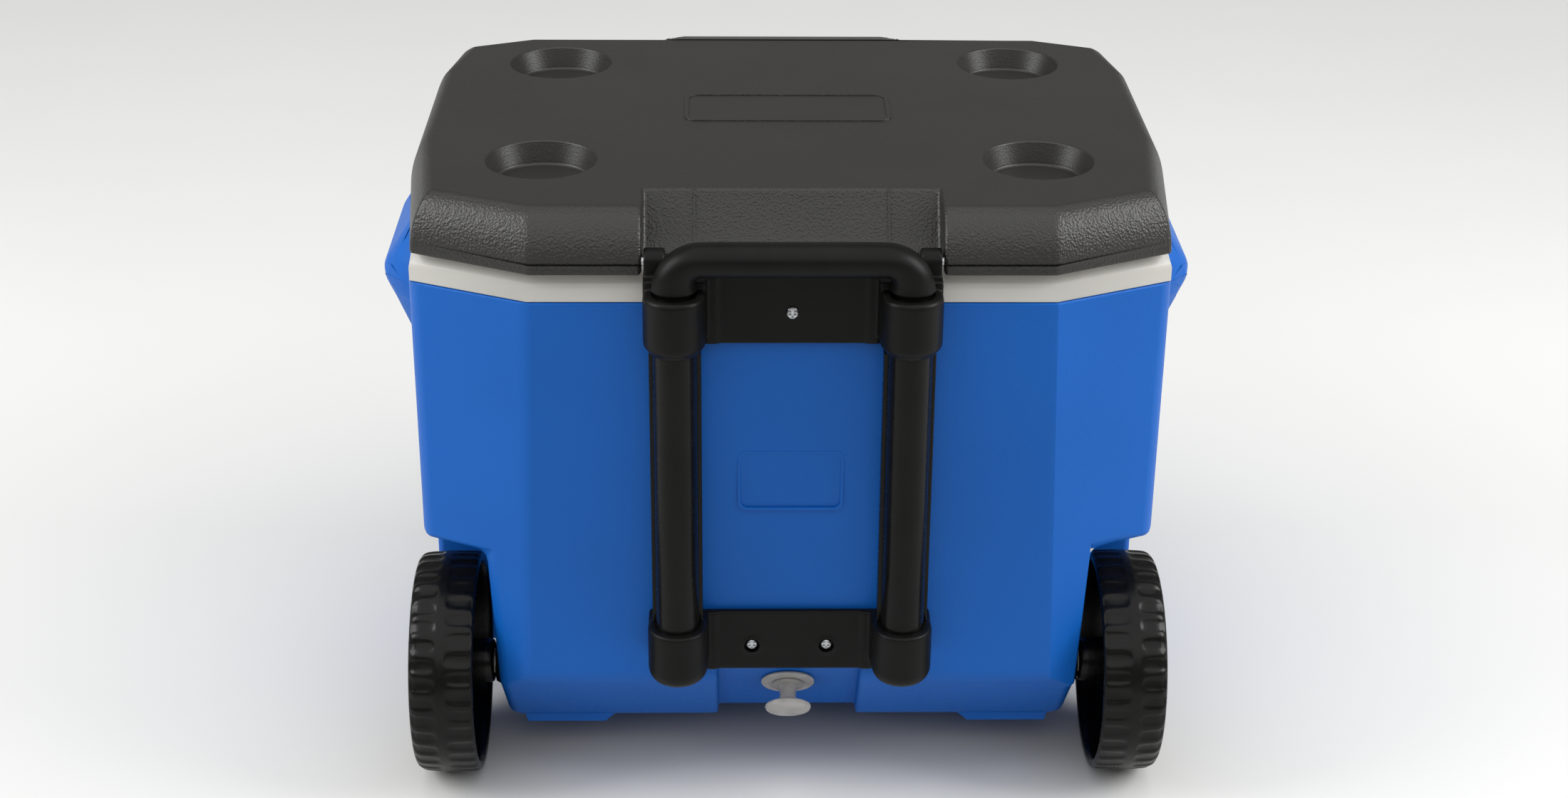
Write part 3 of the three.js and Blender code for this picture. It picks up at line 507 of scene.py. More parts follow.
def grow_handle(tub, side):
    """The ridge that swells out of the tub's side, open underneath for the fingers"""
    inner, tab = SIDE_X - WALL, SIDE_X + 5.5 * MM

    def section(y, out):
        def x(full):
            return inner + MM + (full - inner - MM) * out

        outline = [
            (inner, HANDLE_LOW),
            (x(SIDE_X), HANDLE_LOW),
            (x(HANDLE_REACH - 2 * MM), HANDLE_RIDGE - 8 * MM),
            (x(HANDLE_REACH), HANDLE_RIDGE),
            (x(HANDLE_REACH - 2 * MM), HANDLE_RIDGE + 8 * MM),
            (x(tab), TUB_TOP - MM),
            (inner, TUB_TOP - MM),
        ]
        return [Vector((side * across, CENTRE_Y + y, up)) for across, up in outline]

    part_way = (HANDLE_FLAT + HANDLE_END) / 2
    stations = [(HANDLE_END, 0.02), (part_way, 0.62), (HANDLE_FLAT, 1)]
    rings = [section(y, out) for y, out in stations] + [section(-y, out) for y, out in reversed(stations)]
    swell = loft("handle swell", rings)
    tab_box = block(
        "handle tab",
        (side * (SIDE_X + 0.8 * MM), CENTRE_Y - HANDLE_FLAT, TUB_TOP - 30 * MM),
        (side * tab, CENTRE_Y + HANDLE_FLAT, high("outer_shell").z),
    )
    pocket = block(
        "finger pocket",
        (side * (SIDE_X + 2 * MM), CENTRE_Y - 46 * MM, HANDLE_LOW - 20 * MM),
        (side * (HANDLE_REACH - 8 * MM), CENTRE_Y + 46 * MM, HANDLE_RIDGE - 12 * MM),
    )

    def swell_width(middle_mm, direction, edge):
        if abs(middle_mm.x) < SIDE_X / MM:
            return 0
        return 4 if abs(direction.y) > 0.8 else 8

    round_edges(swell, swell_width, least=6)
    carve(swell, round_edges(face_out(pocket), lambda *_: 3, segments=3))
    join(swell, round_edges(face_out(tab_box), lambda *_: 1.4, segments=3))
    join(tub, swell)


def grow_feet(tub, side):
    """One front foot and one short skid under the base"""
    near, far = FRONT - 68 * MM, FRONT - 22 * MM

    def ring(grow, z):
        xs = (side * 150 * MM - 38 * MM - grow, side * 150 * MM + 38 * MM + grow)
        ys = (near - grow, far + grow)
        return [Vector((xs[i], ys[j], z)) for i, j in ((0, 0), (1, 0), (1, 1), (0, 1))]

    join(tub, loft("front foot", [ring(-3 * MM, 0), ring(0, BASE + MM)]))
    skid_y = BACK + 62 * MM
    inner = (side * 132 * MM, skid_y - 11 * MM, BASE - 3 * MM)
    outer = (side * 190 * MM, skid_y + 11 * MM, BASE + MM)
    join(tub, face_out(block("skid", inner, outer)))


def rounded_frame(name, half_width, half_height, line, depth, corner):
    """A flat ring with round corners, lying in X and Z around the origin, facing -Y"""
    rings = []
    for shrink in (0, line):
        side_x, side_z = half_width - shrink, half_height - shrink
        bend = corner - shrink * 0.6
        corners = [Vector((i * side_x, 0, j * side_z)) for i, j in ((-1, -1), (1, -1), (1, 1), (-1, 1))]
        piece = trace("frame outline", corners)
        everything()
        bpy.ops.mesh.bevel(offset=bend, segments=6, affect="VERTICES")
        everything()
        reach = depth if shrink == 0 else depth * 4
        bpy.ops.transform.translate(value=-Y * reach / 2)
        bpy.ops.mesh.extrude_region_move(TRANSFORM_OT_translate={"value": Y * reach})
        rings.append(face_out(piece))
    frame_piece = carve(rings[0], rings[1])
    frame_piece.name = name
    return round_edges(frame_piece, lambda *_: 0.35, segments=2, least=40)


def drill(piece, start, end, radius, sides=48):
    return carve(piece, rod("drill", start, end, radius, sides))


def drain_point(along):
    """A place on the drain's axis, measured outwards from the bay's face"""
    y = BACK + BACK_DRAFT + (undercut_line(BACK + BACK_DRAFT, BAY_DEPTH) - DRAIN_Z) / UNDERCUT_SLOPE
    return Vector((0, y, DRAIN_Z)) + DRAIN_AXIS * along


class COOLER_OT_build_tub(bpy.types.Operator):
    """Builds the blue tub with its wheel wells, side handles, finger pockets, feet and moulded frame"""

    bl_idname = "cooler.build_tub"
    bl_label = "Tub"

    def execute(self, context):
        tub = tub_form("tub_shell", 0, TUB_TOP)
        for _, side in SIDES:
            grow_feet(tub, side)
        round_edges(tub, tub_rounding(0))
        # cuts close round the handles keep their soft shading off the flat sides
        around = HANDLE_END + 3 * MM
        edit(tub)
        planes = [(Z * (HANDLE_LOW - 3 * MM), Z), (Y * (CENTRE_Y - around), Y), (Y * (CENTRE_Y + around), Y)]
        for place, across in planes:
            everything()
            bpy.ops.mesh.bisect(plane_co=place, plane_no=across)
        to_object_mode()
        for _, side in SIDES:
            grow_handle(tub, side)
        label = rounded_frame("label frame", 36 * MM, 22.5 * MM, 2.2 * MM, 3 * MM, 6 * MM)
        edit(label)
        tilt = atan2(BACK_DRAFT, TUB_TOP - KNEE)
        face_y = BACK + BACK_DRAFT * (TUB_TOP - LABEL_Z) / (TUB_TOP - KNEE)
        bpy.ops.transform.rotate(value=tilt, orient_axis="X", center_override=(0, 0, 0))
        bpy.ops.transform.translate(value=(0, face_y + 0.5 * MM, LABEL_Z))
        join(tub, face_out(label))
        hollow = tub_form("tub hollow", WALL, TUB_TOP + 10 * MM)
        carve(tub, round_edges(hollow, tub_rounding(WALL, 0.7), segments=3))
        drill(tub, drain_point(-12 * MM), drain_point(8 * MM), SPOUT_HOLE)
        hub = Vector(joint("wheel_left_spin")["pos_m"])
        for _, side in SIDES:
            drill(tub, hub + X * side * 190 * MM, hub + X * side * 230 * MM, AXLE_HOLE)
        smooth(tub)
        stands_for(tub, "tub", "blue_shell", blue_polyethylene(context.scene.cooler_finish), "outer_shell")
        return {"FINISHED"}


class COOLER_OT_build_liner(bpy.types.Operator):
    """Builds the off-white liner, from the rim that shows under the lid to the cavity's floor"""

    bl_idname = "cooler.build_liner"
    bl_label = "Liner"

    def execute(self, context):
        bottom, edge = TUB_TOP + 0.3 * MM, RIM_TOP - 9 * MM
        plan = inset(TUB_TOP_PLAN, MM)
        rim = loft("liner", [raised(plan, bottom), raised(plan, edge), raised(inset(plan, 9 * MM), RIM_TOP)])
        groove_plan = inset(TUB_TOP_PLAN, 4 * MM)
        groove = loft("rim groove", [
            raised(groove_plan, bottom - MM),
            raised(groove_plan, edge - MM),
            raised(inset(groove_plan, 9 * MM), RIM_TOP - 3 * MM),
        ])
        carve(rim, groove)
        join(rim, tub_form("liner tub", LINER_IN, RIM_TOP))
        cavity = tub_form("liner cavity", LINER_IN + LINER_WALL, RIM_TOP + 5 * MM)
        round_edges(cavity, cavity_rounding, segments=5)
        carve(rim, cavity)
        round_edges(rim, rim_rounding, least=25)
        drill(rim, drain_point(-60 * MM), drain_point(-15 * MM), SPOUT_HOLE)
        smooth(rim)
        stands_for(rim, "tub", "white_liner", white_polyethylene(context.scene.cooler_finish), "inner_liner")
        return {"FINISHED"}


def cavity_rounding(middle_mm, direction, edge):
    """Wide sweeps in the cavity's corners, which make it easy to wipe out"""
    if middle_mm.z > TUB_TOP / MM - 1.5:
        return 0.01
    walls = well_faces(edge, LINER_IN + LINER_WALL)
    if abs(direction.z) > 0.8 and not walls:
        return 14 if abs(middle_mm.x) > 200 else 6
    return 8


def rim_rounding(middle_mm, direction, edge):
    """The rim's lower edge is soft, and its chamfer runs into the side"""
    x, y, z = middle_mm
    if z > RIM_TOP / MM - 1:
        return 1.8
    if abs(z - RIM_TOP / MM + 9) < 0.8 and edge.calc_length() > 4 * MM:
        return 2.5
    if abs(z - TUB_TOP / MM) < 0.8:
        return 0.8
    return 0


# ---------- Lid ----------
def lid_share(up):
    """How far in the lid's sides have come at a share of its height: half a quarter round, half a parabola"""
    return 0.5 * (1 - sqrt(1 - up * up)) + 0.5 * up * up


def lid_form(deeper, bottom, top, levels):
    """The lid's rings at shares of its height, moved inwards by deeper"""
    rings = []
    for up in levels:
        plan = inset(blended(LID_FOOT_PLAN, LID_TOP_PLAN, lid_share(up)), deeper)
        rings.append(raised(plan, bottom + up * (top - bottom)))
    return rings


def recess_panel(foot, head):
    """The recess's panel from the side: upright, then leaning back and running out into the lid's top"""
    depths = (30 * MM, 30 * MM, 40 * MM, 57 * MM)
    return [(LID_BACK + depth, z) for depth, z in zip(depths, (foot, 414 * MM, 424 * MM, head))]


def recess_cutter(wall):
    """The room for the pull handle at the lid's back, grown by a wall"""
    outline = [
        (LID_BACK - 30 * MM, LID_BOTTOM - 30 * MM),
        *((y + wall, z) for y, z in recess_panel(LID_BOTTOM - 30 * MM, LID_TOP)),
        (LID_BACK + 65 * MM + wall, LID_TOP + 13 * MM),
        (LID_BACK - 30 * MM, LID_TOP + 13 * MM),
    ]
    half = RECESS_HALF + wall
    return extruded("recess cutter", [Vector((-half, y, z)) for y, z in outline], X * 2 * half)


def recess_ridge(x):
    """A thin ridge that runs up the recess's panel"""
    panel = recess_panel(LID_BOTTOM + 3 * MM, LID_TOP - 0.4 * MM)
    outline = [(y - 1 * MM, z) for y, z in panel] + [(y + 1.5 * MM, z) for y, z in reversed(panel)]
    return extruded("recess ridge", [Vector((x - 0.7 * MM, y, z)) for y, z in outline], X * 1.4 * MM)


def cup_cutter(place, wall, sizes):
    """What a cup holder removes: a floor with a round fillet, a slightly leaning wall and a flared rim"""
    floor, rim, depth = 33.5 * MM + wall, sizes.cup_rim / 2 + wall, 16 * MM + wall
    fillet, flare = 2.6 * MM, 1.8 * MM
    profile = [(0, -depth)]
    for i in range(7):
        angle = radians(90 * i / 6)
        profile.append((floor - fillet + fillet * sin(angle), -depth + fillet - fillet * cos(angle)))
    if wall:
        profile += [(rim, 0), (rim, 20 * MM), (0, 20 * MM)]
    else:
        for i in range(7):
            angle = radians(90 * i / 6)
            profile.append((rim - 0.2 * MM + flare * (1 - cos(angle)), -flare + flare * sin(angle)))
        profile += [(rim - 0.2 * MM + flare, 6 * MM), (0, 6 * MM)]
    return turned("cup cutter", profile, Vector((*place, LID_TOP)), Z, steps=72)


def front_lip():
    """The lip that runs out of the lid's front edge and lifts it"""
    half, reach = 96 * MM, 20 * MM
    stations = [
        (half - 2 * MM, reach - 2 * MM, -32 * MM),
        (half, reach, -26 * MM),
        (half, reach, -16 * MM),
        (half - 3 * MM, reach - 7 * MM, -9 * MM),
        (half - 5 * MM, -8 * MM, -3 * MM),
        (half - 8 * MM, -21 * MM, -0.6 * MM),
    ]
    rings = []
    for width, out, height in stations:
        back, shoulder = LID_FRONT - 39 * MM, LID_FRONT + min(-6 * MM, out - 4 * MM)
        outline = [
            (-width, back),
            (width, back),
            (width, shoulder),
            (width - 12 * MM, LID_FRONT + out),
            (-width + 12 * MM, LID_FRONT + out),
            (-width, shoulder),
        ]
        rings.append([Vector((x, y, LID_TOP + height)) for x, y in outline])
    return loft("front lip", rings)


def lid_rounding(middle_mm, direction, edge):
    x, y, z = abs(middle_mm.x), middle_mm.y, middle_mm.z
    if abs(x - RECESS_HALF / MM) < 1 and y < (LID_BACK + 70 * MM) / MM:
        return 2.6
    if z < LID_BOTTOM / MM + 1:
        return 1.6
    if z > LID_TOP / MM - 1:
        return 2.4
    if y > (LID_FRONT - 30 * MM) / MM and x < 100:
        return 3.0
    return 2.2


class COOLER_OT_build_lid(bpy.types.Operator):
    """Builds the charcoal lid skin with its cup holders, handle recess, front lip and plain raised border"""

    bl_idname = "cooler.build_lid"
    bl_label = "Lid"

    def execute(self, context):
        sizes = context.scene.cooler_sizes
        seam, step = 0.18, 1.2 * MM
        levels = [0, seam - 0.015, seam] + [seam + (1 - seam) * (i / 9) for i in range(1, 10)]
        rings = lid_form(0, LID_BOTTOM, LID_TOP, levels)
        for ring in rings[:2]:
            for i in (0, -1):
                ring[i].y += step
        lid = loft("lid_shell_skin", rings)
        join(lid, front_lip())
        carve(lid, recess_cutter(0))
        round_edges(lid, lid_rounding, least=13)
        for place in CUPS:
            carve(lid, cup_cutter(place, 0, sizes))
        hollow = loft("lid hollow", lid_form(WALL, LID_BOTTOM - MM, LID_TOP - WALL, [0, 0.3, 0.6, 0.8, 1]))
        carve(hollow, recess_cutter(WALL))
        for place in CUPS:
            carve(hollow, cup_cutter(place, WALL, sizes))
        for _, side in SIDES:
            carve(hollow, rod("boss", on_hinge(side, 95), on_hinge(side, 112), 5.6 * MM, 32))
        carve(lid, hollow)
        for _, side in SIDES:
            drill(lid, on_hinge(side, 93), on_hinge(side, 106.8), PIN_HOLE, 32)
        for _, side in SIDES:
            join(lid, recess_ridge(side * 64.5 * MM))
        border = rounded_frame("lid border", 74 * MM, 30 * MM, 3 * MM, 3 * MM, 9 * MM)
        edit(border)
        bpy.ops.transform.rotate(value=pi / 2, orient_axis="X", center_override=(0, 0, 0))
        bpy.ops.transform.translate(value=(0, CENTRE_Y + 2 * MM, LID_TOP - 0.7 * MM))
        join(lid, face_out(border))
        smooth(lid)
        stands_for(lid, "lid", "charcoal_lid", charcoal_polyethylene(context.scene.cooler_finish), "lid_shell")
        return {"FINISHED"}


# ---------- Lid's underside ----------
class COOLER_OT_build_pan(bpy.types.Operator):
    """Builds the lid's white underside, a flange and a plug that sits in the tub's mouth"""

    bl_idname = "cooler.build_pan"
    bl_label = "Lid pan"

    def execute(self, context):
        bottom, flange = low("lid_pan").z, high("lid_pan").z
        plan = inset(LID_FOOT_PLAN, WALL + 0.3 * MM)
        pan = loft("lid_pan_skin", [raised(plan, LID_BOTTOM + 0.3 * MM), raised(plan, flange)])
        plug_plan = inset(TUB_TOP_PLAN, LINER_IN + LINER_WALL + 5 * MM)
        plug = loft("plug", [
            raised(inset(plug_plan, 6 * MM), bottom),
            raised(inset(plug_plan, 1.8 * MM), bottom + 1.8 * MM),
            raised(plug_plan, bottom + 6 * MM),
            raised(plug_plan, flange - 0.5 * MM),
        ])
        join(pan, plug)
        carve(pan, recess_cutter(WALL + 0.3 * MM))
        room_plan = inset(plug_plan, LINER_WALL)
        room = loft("plug room", [raised(room_plan, bottom + 6 * MM), raised(room_plan, flange + 5 * MM)])
        carve(room, recess_cutter(WALL + LINER_WALL + 0.3 * MM))
        carve(pan, room)
        for _, side in SIDES:
            drill(pan, on_hinge(side, 95), on_hinge(side, 113), 6 * MM, 32)
        smooth(pan)
        stands_for(pan, "lid", "white_liner", white_polyethylene(context.scene.cooler_finish), "lid_pan")
        return {"FINISHED"}


# ---------- Pull handle ----------
POST_X, POST_Y = 77 * MM, middle("outer_tube_left").y
SLEEVE_RADIUS, POST_ROOM, SLIDE_ROOM = 20.5 * MM, 14.8 * MM, 11.5 * MM
SLEEVE_NEAR, SLEEVE_FAR = POST_X - SLEEVE_RADIUS, POST_X + SLEEVE_RADIUS


def post_at(side, z):
    return Vector((side * POST_X, POST_Y, z))


def upright(name, side, rings):
    """A turned body round one post from (height, radius) pairs"""
    first, last = rings[0][0], rings[-1][0]
    profile = [(0, first), *((radius, z) for z, radius in rings), (0, last)]
    return turned(name, profile, post_at(side, 0), Z)


def ring_tube(name, side, radius, wall, foot, top):
    """A smooth tube round one post's axis with a small turned edge at its ends"""
    edge = 0.5 * MM
    profile = [
        (radius - wall, foot),
        (radius - edge, foot),
        (radius, foot + edge),
        (radius, top - edge),
        (radius - edge, top),
        (radius - wall, top),
    ]
    return smooth(turned(name, profile, post_at(side, 0), Z), 40)


class COOLER_OT_build_upper_bracket(bpy.types.Operator):
    """Builds the black bracket with two sleeves for the tubes, two hinge ears and its ribbed web"""

    bl_idname = "cooler.build_upper_bracket"
    bl_label = "Upper bracket"

    def execute(self, context):
        foot, top = low("upper_bracket").z, 405 * MM
        web_top = top + 5.5 * MM
        web = block("upper_bracket_body", (-POST_X, PLATE_Y - PLATE, foot), (POST_X, PLATE_Y, web_top))
        for _, side in SIDES:
            sleeve = [
                (foot + 2.9 * MM, 17.2 * MM),
                (foot + 5.4 * MM, 17.6 * MM),
                (foot + 7.6 * MM, SLEEVE_RADIUS - 0.4 * MM),
                (foot + 10 * MM, SLEEVE_RADIUS),
                (top - 3 * MM, SLEEVE_RADIUS),
                (top - 0.9 * MM, SLEEVE_RADIUS - 0.9 * MM),
                (top, SLEEVE_RADIUS - 2.4 * MM),
            ]
            join(web, upright("sleeve", side, sleeve))
            corner, end = (POST_Y + 6 * MM, foot + 6.9 * MM), (PLATE_Y, web_top)
            join(web, strip("sleeve back", side, SLEEVE_NEAR, SLEEVE_FAR, corner, end))
            corner = (PLATE_Y - 7 * MM, foot)
            join(web, strip("rib", side, SLEEVE_NEAR - 7.4 * MM, SLEEVE_NEAR + MM, corner, end))
            join(web, rod("ear", on_hinge(side, 83), on_hinge(side, 97), 9 * MM, 48))
            corner, end = (HINGE.y - 9 * MM, top - 22 * MM), (PLATE_Y, HINGE.z)
            join(web, strip("ear stalk", side, 83 * MM, 97 * MM, corner, end))
        moulded(web, 1.05 * MM, 6)
        for _, side in SIDES:
            drill(web, post_at(side, foot - 10 * MM), post_at(side, 397.3 * MM), POST_ROOM, 64)
            drill(web, post_at(side, 390 * MM), post_at(side, top + 10 * MM), SLIDE_ROOM, 64)
            drill(web, post_at(side, top - 1.6 * MM), post_at(side, top + 4 * MM), SLIDE_ROOM + 3.4 * MM, 64)
            drill(web, on_hinge(side, 78), on_hinge(side, 102), PIN_HOLE, 32)
        smooth(web, 50, weighted=False)
        stands_for(web, "tub", "black_plastic", black_polypropylene(), "upper_bracket")
        return {"FINISHED"}


class COOLER_OT_build_lower_bracket(bpy.types.Operator):
    """Builds the black bracket with two closed sockets for the posts and two sunken screw seats"""

    bl_idname = "cooler.build_lower_bracket"
    bl_label = "Lower bracket"

    def execute(self, context):
        foot, top = 115.5 * MM, high("lower_bracket").z
        back = high("lower_bracket").y
        front = back - PLATE
        web_top = 156 * MM
        web = block("lower_bracket_body", (-POST_X, front, low("lower_bracket").z), (POST_X, back, web_top))
        for _, side in SIDES:
            socket = [
                (foot, 8 * MM),
                (foot + 0.9 * MM, 13 * MM),
                (foot + 3 * MM, 17 * MM),
                (foot + 6 * MM, 19.4 * MM),
                (foot + 10 * MM, SLEEVE_RADIUS),
                (top - 2.2 * MM, SLEEVE_RADIUS),
                (top - 0.6 * MM, SLEEVE_RADIUS - 0.6 * MM),
                (top, SLEEVE_RADIUS - 1.8 * MM),
            ]
            join(web, upright("socket", side, socket))
            corner, end = (POST_Y + 6 * MM, foot + 4 * MM), (back, web_top)
            join(web, strip("socket back", side, SLEEVE_NEAR, SLEEVE_FAR, corner, end))
            corner = (front - 1.4 * MM, low("lower_bracket").z)
            join(web, strip("rib", side, SLEEVE_NEAR - 6.3 * MM, SLEEVE_NEAR + MM, corner, end))
        for _, side in SIDES:
            seat = Vector((side * SCREW_X, front, SCREW_Z))
            join(web, rod("seat", seat + Y * 2 * MM, seat - Y * 0.7 * MM, 7.6 * MM, 48, 7 * MM))
        moulded(web, 1.05 * MM, 6)
        for _, side in SIDES:
            drill(web, post_at(side, 118.2 * MM), post_at(side, top + 20 * MM), POST_ROOM, 64)
            seat = Vector((side * SCREW_X, front, SCREW_Z))
            drill(web, seat + Y * 3.2 * MM, seat - Y * 8 * MM, 5.4 * MM, 40)
        smooth(web, 50, weighted=False)
        stands_for(web, "tub", "black_plastic", black_polypropylene(), "lower_bracket")
        return {"FINISHED"}


class COOLER_OT_build_tubes(bpy.types.Operator):
    """Builds the two fixed posts and the two tubes that slide in them"""

    bl_idname = "cooler.build_tubes"
    bl_label = "Tubes"

    def execute(self, context):
        enamel = black_enamel()
        for name, side in SIDES:
            post, tube = "outer_tube_" + name, "slide_tube_" + name
            fixed = ring_tube("post_" + name, side, 14.5 * MM, 1.5 * MM, low(post).z, high(post).z)
            flange_foot, flange_top = high("lower_bracket").z + 0.3 * MM, low("upper_bracket").z - 0.3 * MM
            flange = block(
                "flange",
                (side * POST_X - 17.2 * MM, POST_Y + 3 * MM, flange_foot),
                (side * POST_X + 17.2 * MM, POST_Y + 12.5 * MM, flange_top),
            )
            round_edges(flange, lambda *_: 0.8, segments=2, least=30)
            drill(flange, post_at(side, flange_foot - 5 * MM), post_at(side, flange_top + 5 * MM), 13.6 * MM, 64)
            smooth(join(fixed, flange), 40)
            stands_for(fixed, "tub", "black_tube", enamel, post)
            sliding = ring_tube("sliding_" + name, side, 11.2 * MM, 1.5 * MM, low(tube).z, high(tube).z)
            stands_for(sliding, "pull_handle", "black_tube", enamel, tube)
        return {"FINISHED"}


class COOLER_OT_build_grip(bpy.types.Operator):
    """Builds the hoop-shaped grip, flatter along its bar, with finger ridges underneath"""

    bl_idname = "cooler.build_grip"
    bl_label = "Grip"

    def execute(self, context):
        foot, bar = low("grip").z, 428.5 * MM
        bend, sides, steps = 18 * MM, 24, 7
        leg_half, bar_half, half_depth = 15 * MM, 11.5 * MM, 13 * MM
        line = [(-POST_X, foot, 0, 0.9), (-POST_X, foot + 1.6 * MM, 0, 1), (-POST_X, bar - bend - 1.2 * MM, 0, 1)]
        for i in range(1, steps + 1):
            turn = i / steps * pi / 2
            line.append((-POST_X + bend - bend * cos(turn), bar - bend + bend * sin(turn), turn, 1))
        line.append((-20 * MM, bar, pi / 2, 1))
        line += [(-x, z, pi - turn, grow) for x, z, turn, grow in reversed(line)]
        rings = []
        for x, z, turn, grow in line:
            level = abs(sin(turn))
            half = (leg_half * (1 - level) + bar_half * level) * grow
            across = Vector((cos(turn), 0, -sin(turn)))
            centre = Vector((x, POST_Y, z))
            angles = [2 * pi * k / sides for k in range(sides)]
            rings.append([centre + across * half * cos(a) + Y * half_depth * grow * sin(a) for a in angles])
        hoop = subdivided(loft("grip_hoop", rings), 2)
        for i in range(-7, 8):
            x = i * 6 * MM
            under = bar - bar_half
            cutter = block(
                "finger groove",
                (x - 1.1 * MM, POST_Y - 10 * MM, under - 2 * MM),
                (x + 1.1 * MM, POST_Y + 10 * MM, under + 0.9 * MM),
            )
            carve(hoop, cutter)
        for _, side in SIDES:
            top = high("slide_tube_left").z + 0.3 * MM
            drill(hoop, post_at(side, foot - 5 * MM), post_at(side, top), SLIDE_ROOM, 48)
        smooth(hoop, 50, weighted=False)
        stands_for(hoop, "pull_handle", "black_plastic", black_polypropylene(), "grip")
        return {"FINISHED"}


# ---------- Wheels ----------
TREAD_COLUMNS = 108  # three to each block of the tread


def wheel_profile():
    """The wheel's half section as (radius, distance from the middle of the cooler)"""
    return in_mm([
        (9.2, 212), (13.5, 212), (15.4, 213), (16, 215), (16.3, 240), (18, 247), (24, 249.6),
        (60, 250), (68, 248.5), (71, 244), (72, 224), (72.6, 221.6), (74.5, 221), (77, 221),
        (78.8, 221.8), (79.6, 223.4), (80, 226), (80, 240.6), (80, 242), (80, 246), (80, 247.4),
        (79.6, 259), (78.6, 262.6), (76.6, 265.2), (74, 266.4), (71.5, 266.2), (69.2, 263.5),
        (67, 257), (64, 255), (26, 255), (20, 256), (18.4, 258.4), (17.4, 259.6), (9.2, 260),
    ])


def column(face, centre):
    place = face.calc_center_median() - centre
    return int((atan2(place.z, place.y) % (2 * pi)) / (2 * pi / TREAD_COLUMNS))


class COOLER_OT_build_wheels(bpy.types.Operator):
    """Builds the wheels, with two staggered rows of tread blocks and a spoked outer face, and their caps"""

    bl_idname = "cooler.build_wheels"
    bl_label = "Wheels"

    def execute(self, context):
        hub = Vector(joint("wheel_right_spin")["pos_m"])
        centre = Vector((0, hub.y, hub.z))
        wheel = turned("wheel_moulding_right", wheel_profile(), centre, X, TREAD_COLUMNS)
        edit(wheel)

        def tread(face, first, last, phase):
            place = face.calc_center_median() - centre
            far = sqrt(place.y**2 + place.z**2) > 76 * MM
            return far and first * MM < place.x < last * MM and column(face, centre) % 3 != phase

        for first, last, phase in ((221.5, 240.8, 0), (247.2, 265.5, 1)):
            pick("FACE", lambda f: tread(f, first, last, phase))
            bpy.ops.mesh.inset(thickness=0.8 * MM, depth=-1.1 * MM, use_even_offset=True)

        def pocket(face):
            place = face.calc_center_median() - centre
            radius = sqrt(place.y**2 + place.z**2)
            return 26.5 * MM < radius < 63.5 * MM and place.x > 253 * MM and column(face, centre) % 12 > 1

        pick("FACE", pocket)
        bpy.ops.mesh.inset(thickness=2 * MM, depth=0)
        bpy.ops.mesh.inset(thickness=0.8 * MM, depth=-2.6 * MM)
        to_object_mode()
        subdivided(wheel, 1)
        smooth(wheel, 60, weighted=False)
        cap = turned("hub_cap_right", in_mm([
            (0, 260.6), (13.4, 260.6), (14, 261.2), (13.8, 263.4), (12.6, 265), (9, 266.2), (5, 266.6), (0, 266.8),
        ]), centre, X)
        smooth(cap, 40)
        gloss, matte = glossy_polyethylene(), black_polypropylene()
        other_wheel, other_cap = twin(wheel, "wheel_moulding_left"), twin(cap, "hub_cap_left")
        smooth(other_wheel, 60, weighted=False)
        smooth(other_cap, 40)
        for name, piece, cover in (("left", other_wheel, other_cap), ("right", wheel, cap)):
            stands_for(piece, "wheel_" + name, "wheel_plastic", gloss, "wheel_" + name)
            stands_for(cover, "tub", "wheel_plastic", matte, "axle_cap_" + name)
        return {"FINISHED"}


# ---------- Drain and screws ----------
class COOLER_OT_build_drain(bpy.types.Operator):
    """Builds the drain's flanged spout and the mushroom-headed plug that is pulled out of it"""

    bl_idname = "cooler.build_drain"
    bl_label = "Drain"

    def execute(self, context):
        milky = milky_polyethylene()
        spout = [
            (8, -35.5), (11, -35.5), (11, 0.3), (18.4, 0.3), (19, 0.9),
            (19, 1.9), (18.2, 2.7), (8.4, 2.8), (8, 2.4),
        ]
        plug = [
            (0, -22), (5.4, -22), (6.4, -21), (7.4, -19), (7.4, 3.1), (10.6, 3.1), (11, 3.6), (10.8, 4.8),
            (7.4, 5.8), (6, 8), (5.6, 13), (6.6, 16), (9, 18), (14.6, 19), (16.2, 19.8), (16.4, 20.8),
            (15.6, 22.2), (12, 22.9), (0, 23.2),
        ]
        for name, profile, body, node in (
            ("drain_flange", spout, "tub", "drain_spout"),
            ("drain_knob", plug, "drain_plug", "drain_plug"),
        ):
            piece = turned(name, in_mm(profile), drain_point(0), DRAIN_AXIS)
            stands_for(smooth(piece), body, "grey_plastic", milky, node)
        return {"FINISHED"}


class COOLER_OT_build_screws(bpy.types.Operator):
    """Builds the three pan-head screws with cross recesses"""

    bl_idname = "cooler.build_screws"
    bl_label = "Screws"

    def execute(self, context):
        zinc = bright_zinc()
        upper = low("upper_bracket").z + 22.4 * MM
        seat_y = high("lower_bracket").y - 3 * MM
        seats = [
            ("screw_upper", Vector((0, PLATE_Y - PLATE, upper))),
            ("screw_lower_left", Vector((-SCREW_X, seat_y, SCREW_Z))),
            ("screw_lower_right", Vector((SCREW_X, seat_y, SCREW_Z))),
        ]
        profile = in_mm([
            (0, -2.7), (1.8, -2.6), (3.2, -2.2), (4, -1.4), (4.2, -0.8), (4.2, -0.3), (2, -0.3), (2, 19), (0, 22),
        ])
        for node, seat in seats:
            screw = turned(node + "_body", profile, seat, Y, 48)
            for wide, tall in ((2.6, 0.75), (0.75, 2.6)):
                corner = Vector((wide, 2.5, tall)) * MM
                centre = seat - Y * 3.4 * MM
                cutter = block("cross", centre - corner, centre + corner)
                carve(screw, cutter)
            stands_for(smooth(screw, 30), "tub", "screw_steel", zinc, node)
        return {"FINISHED"}


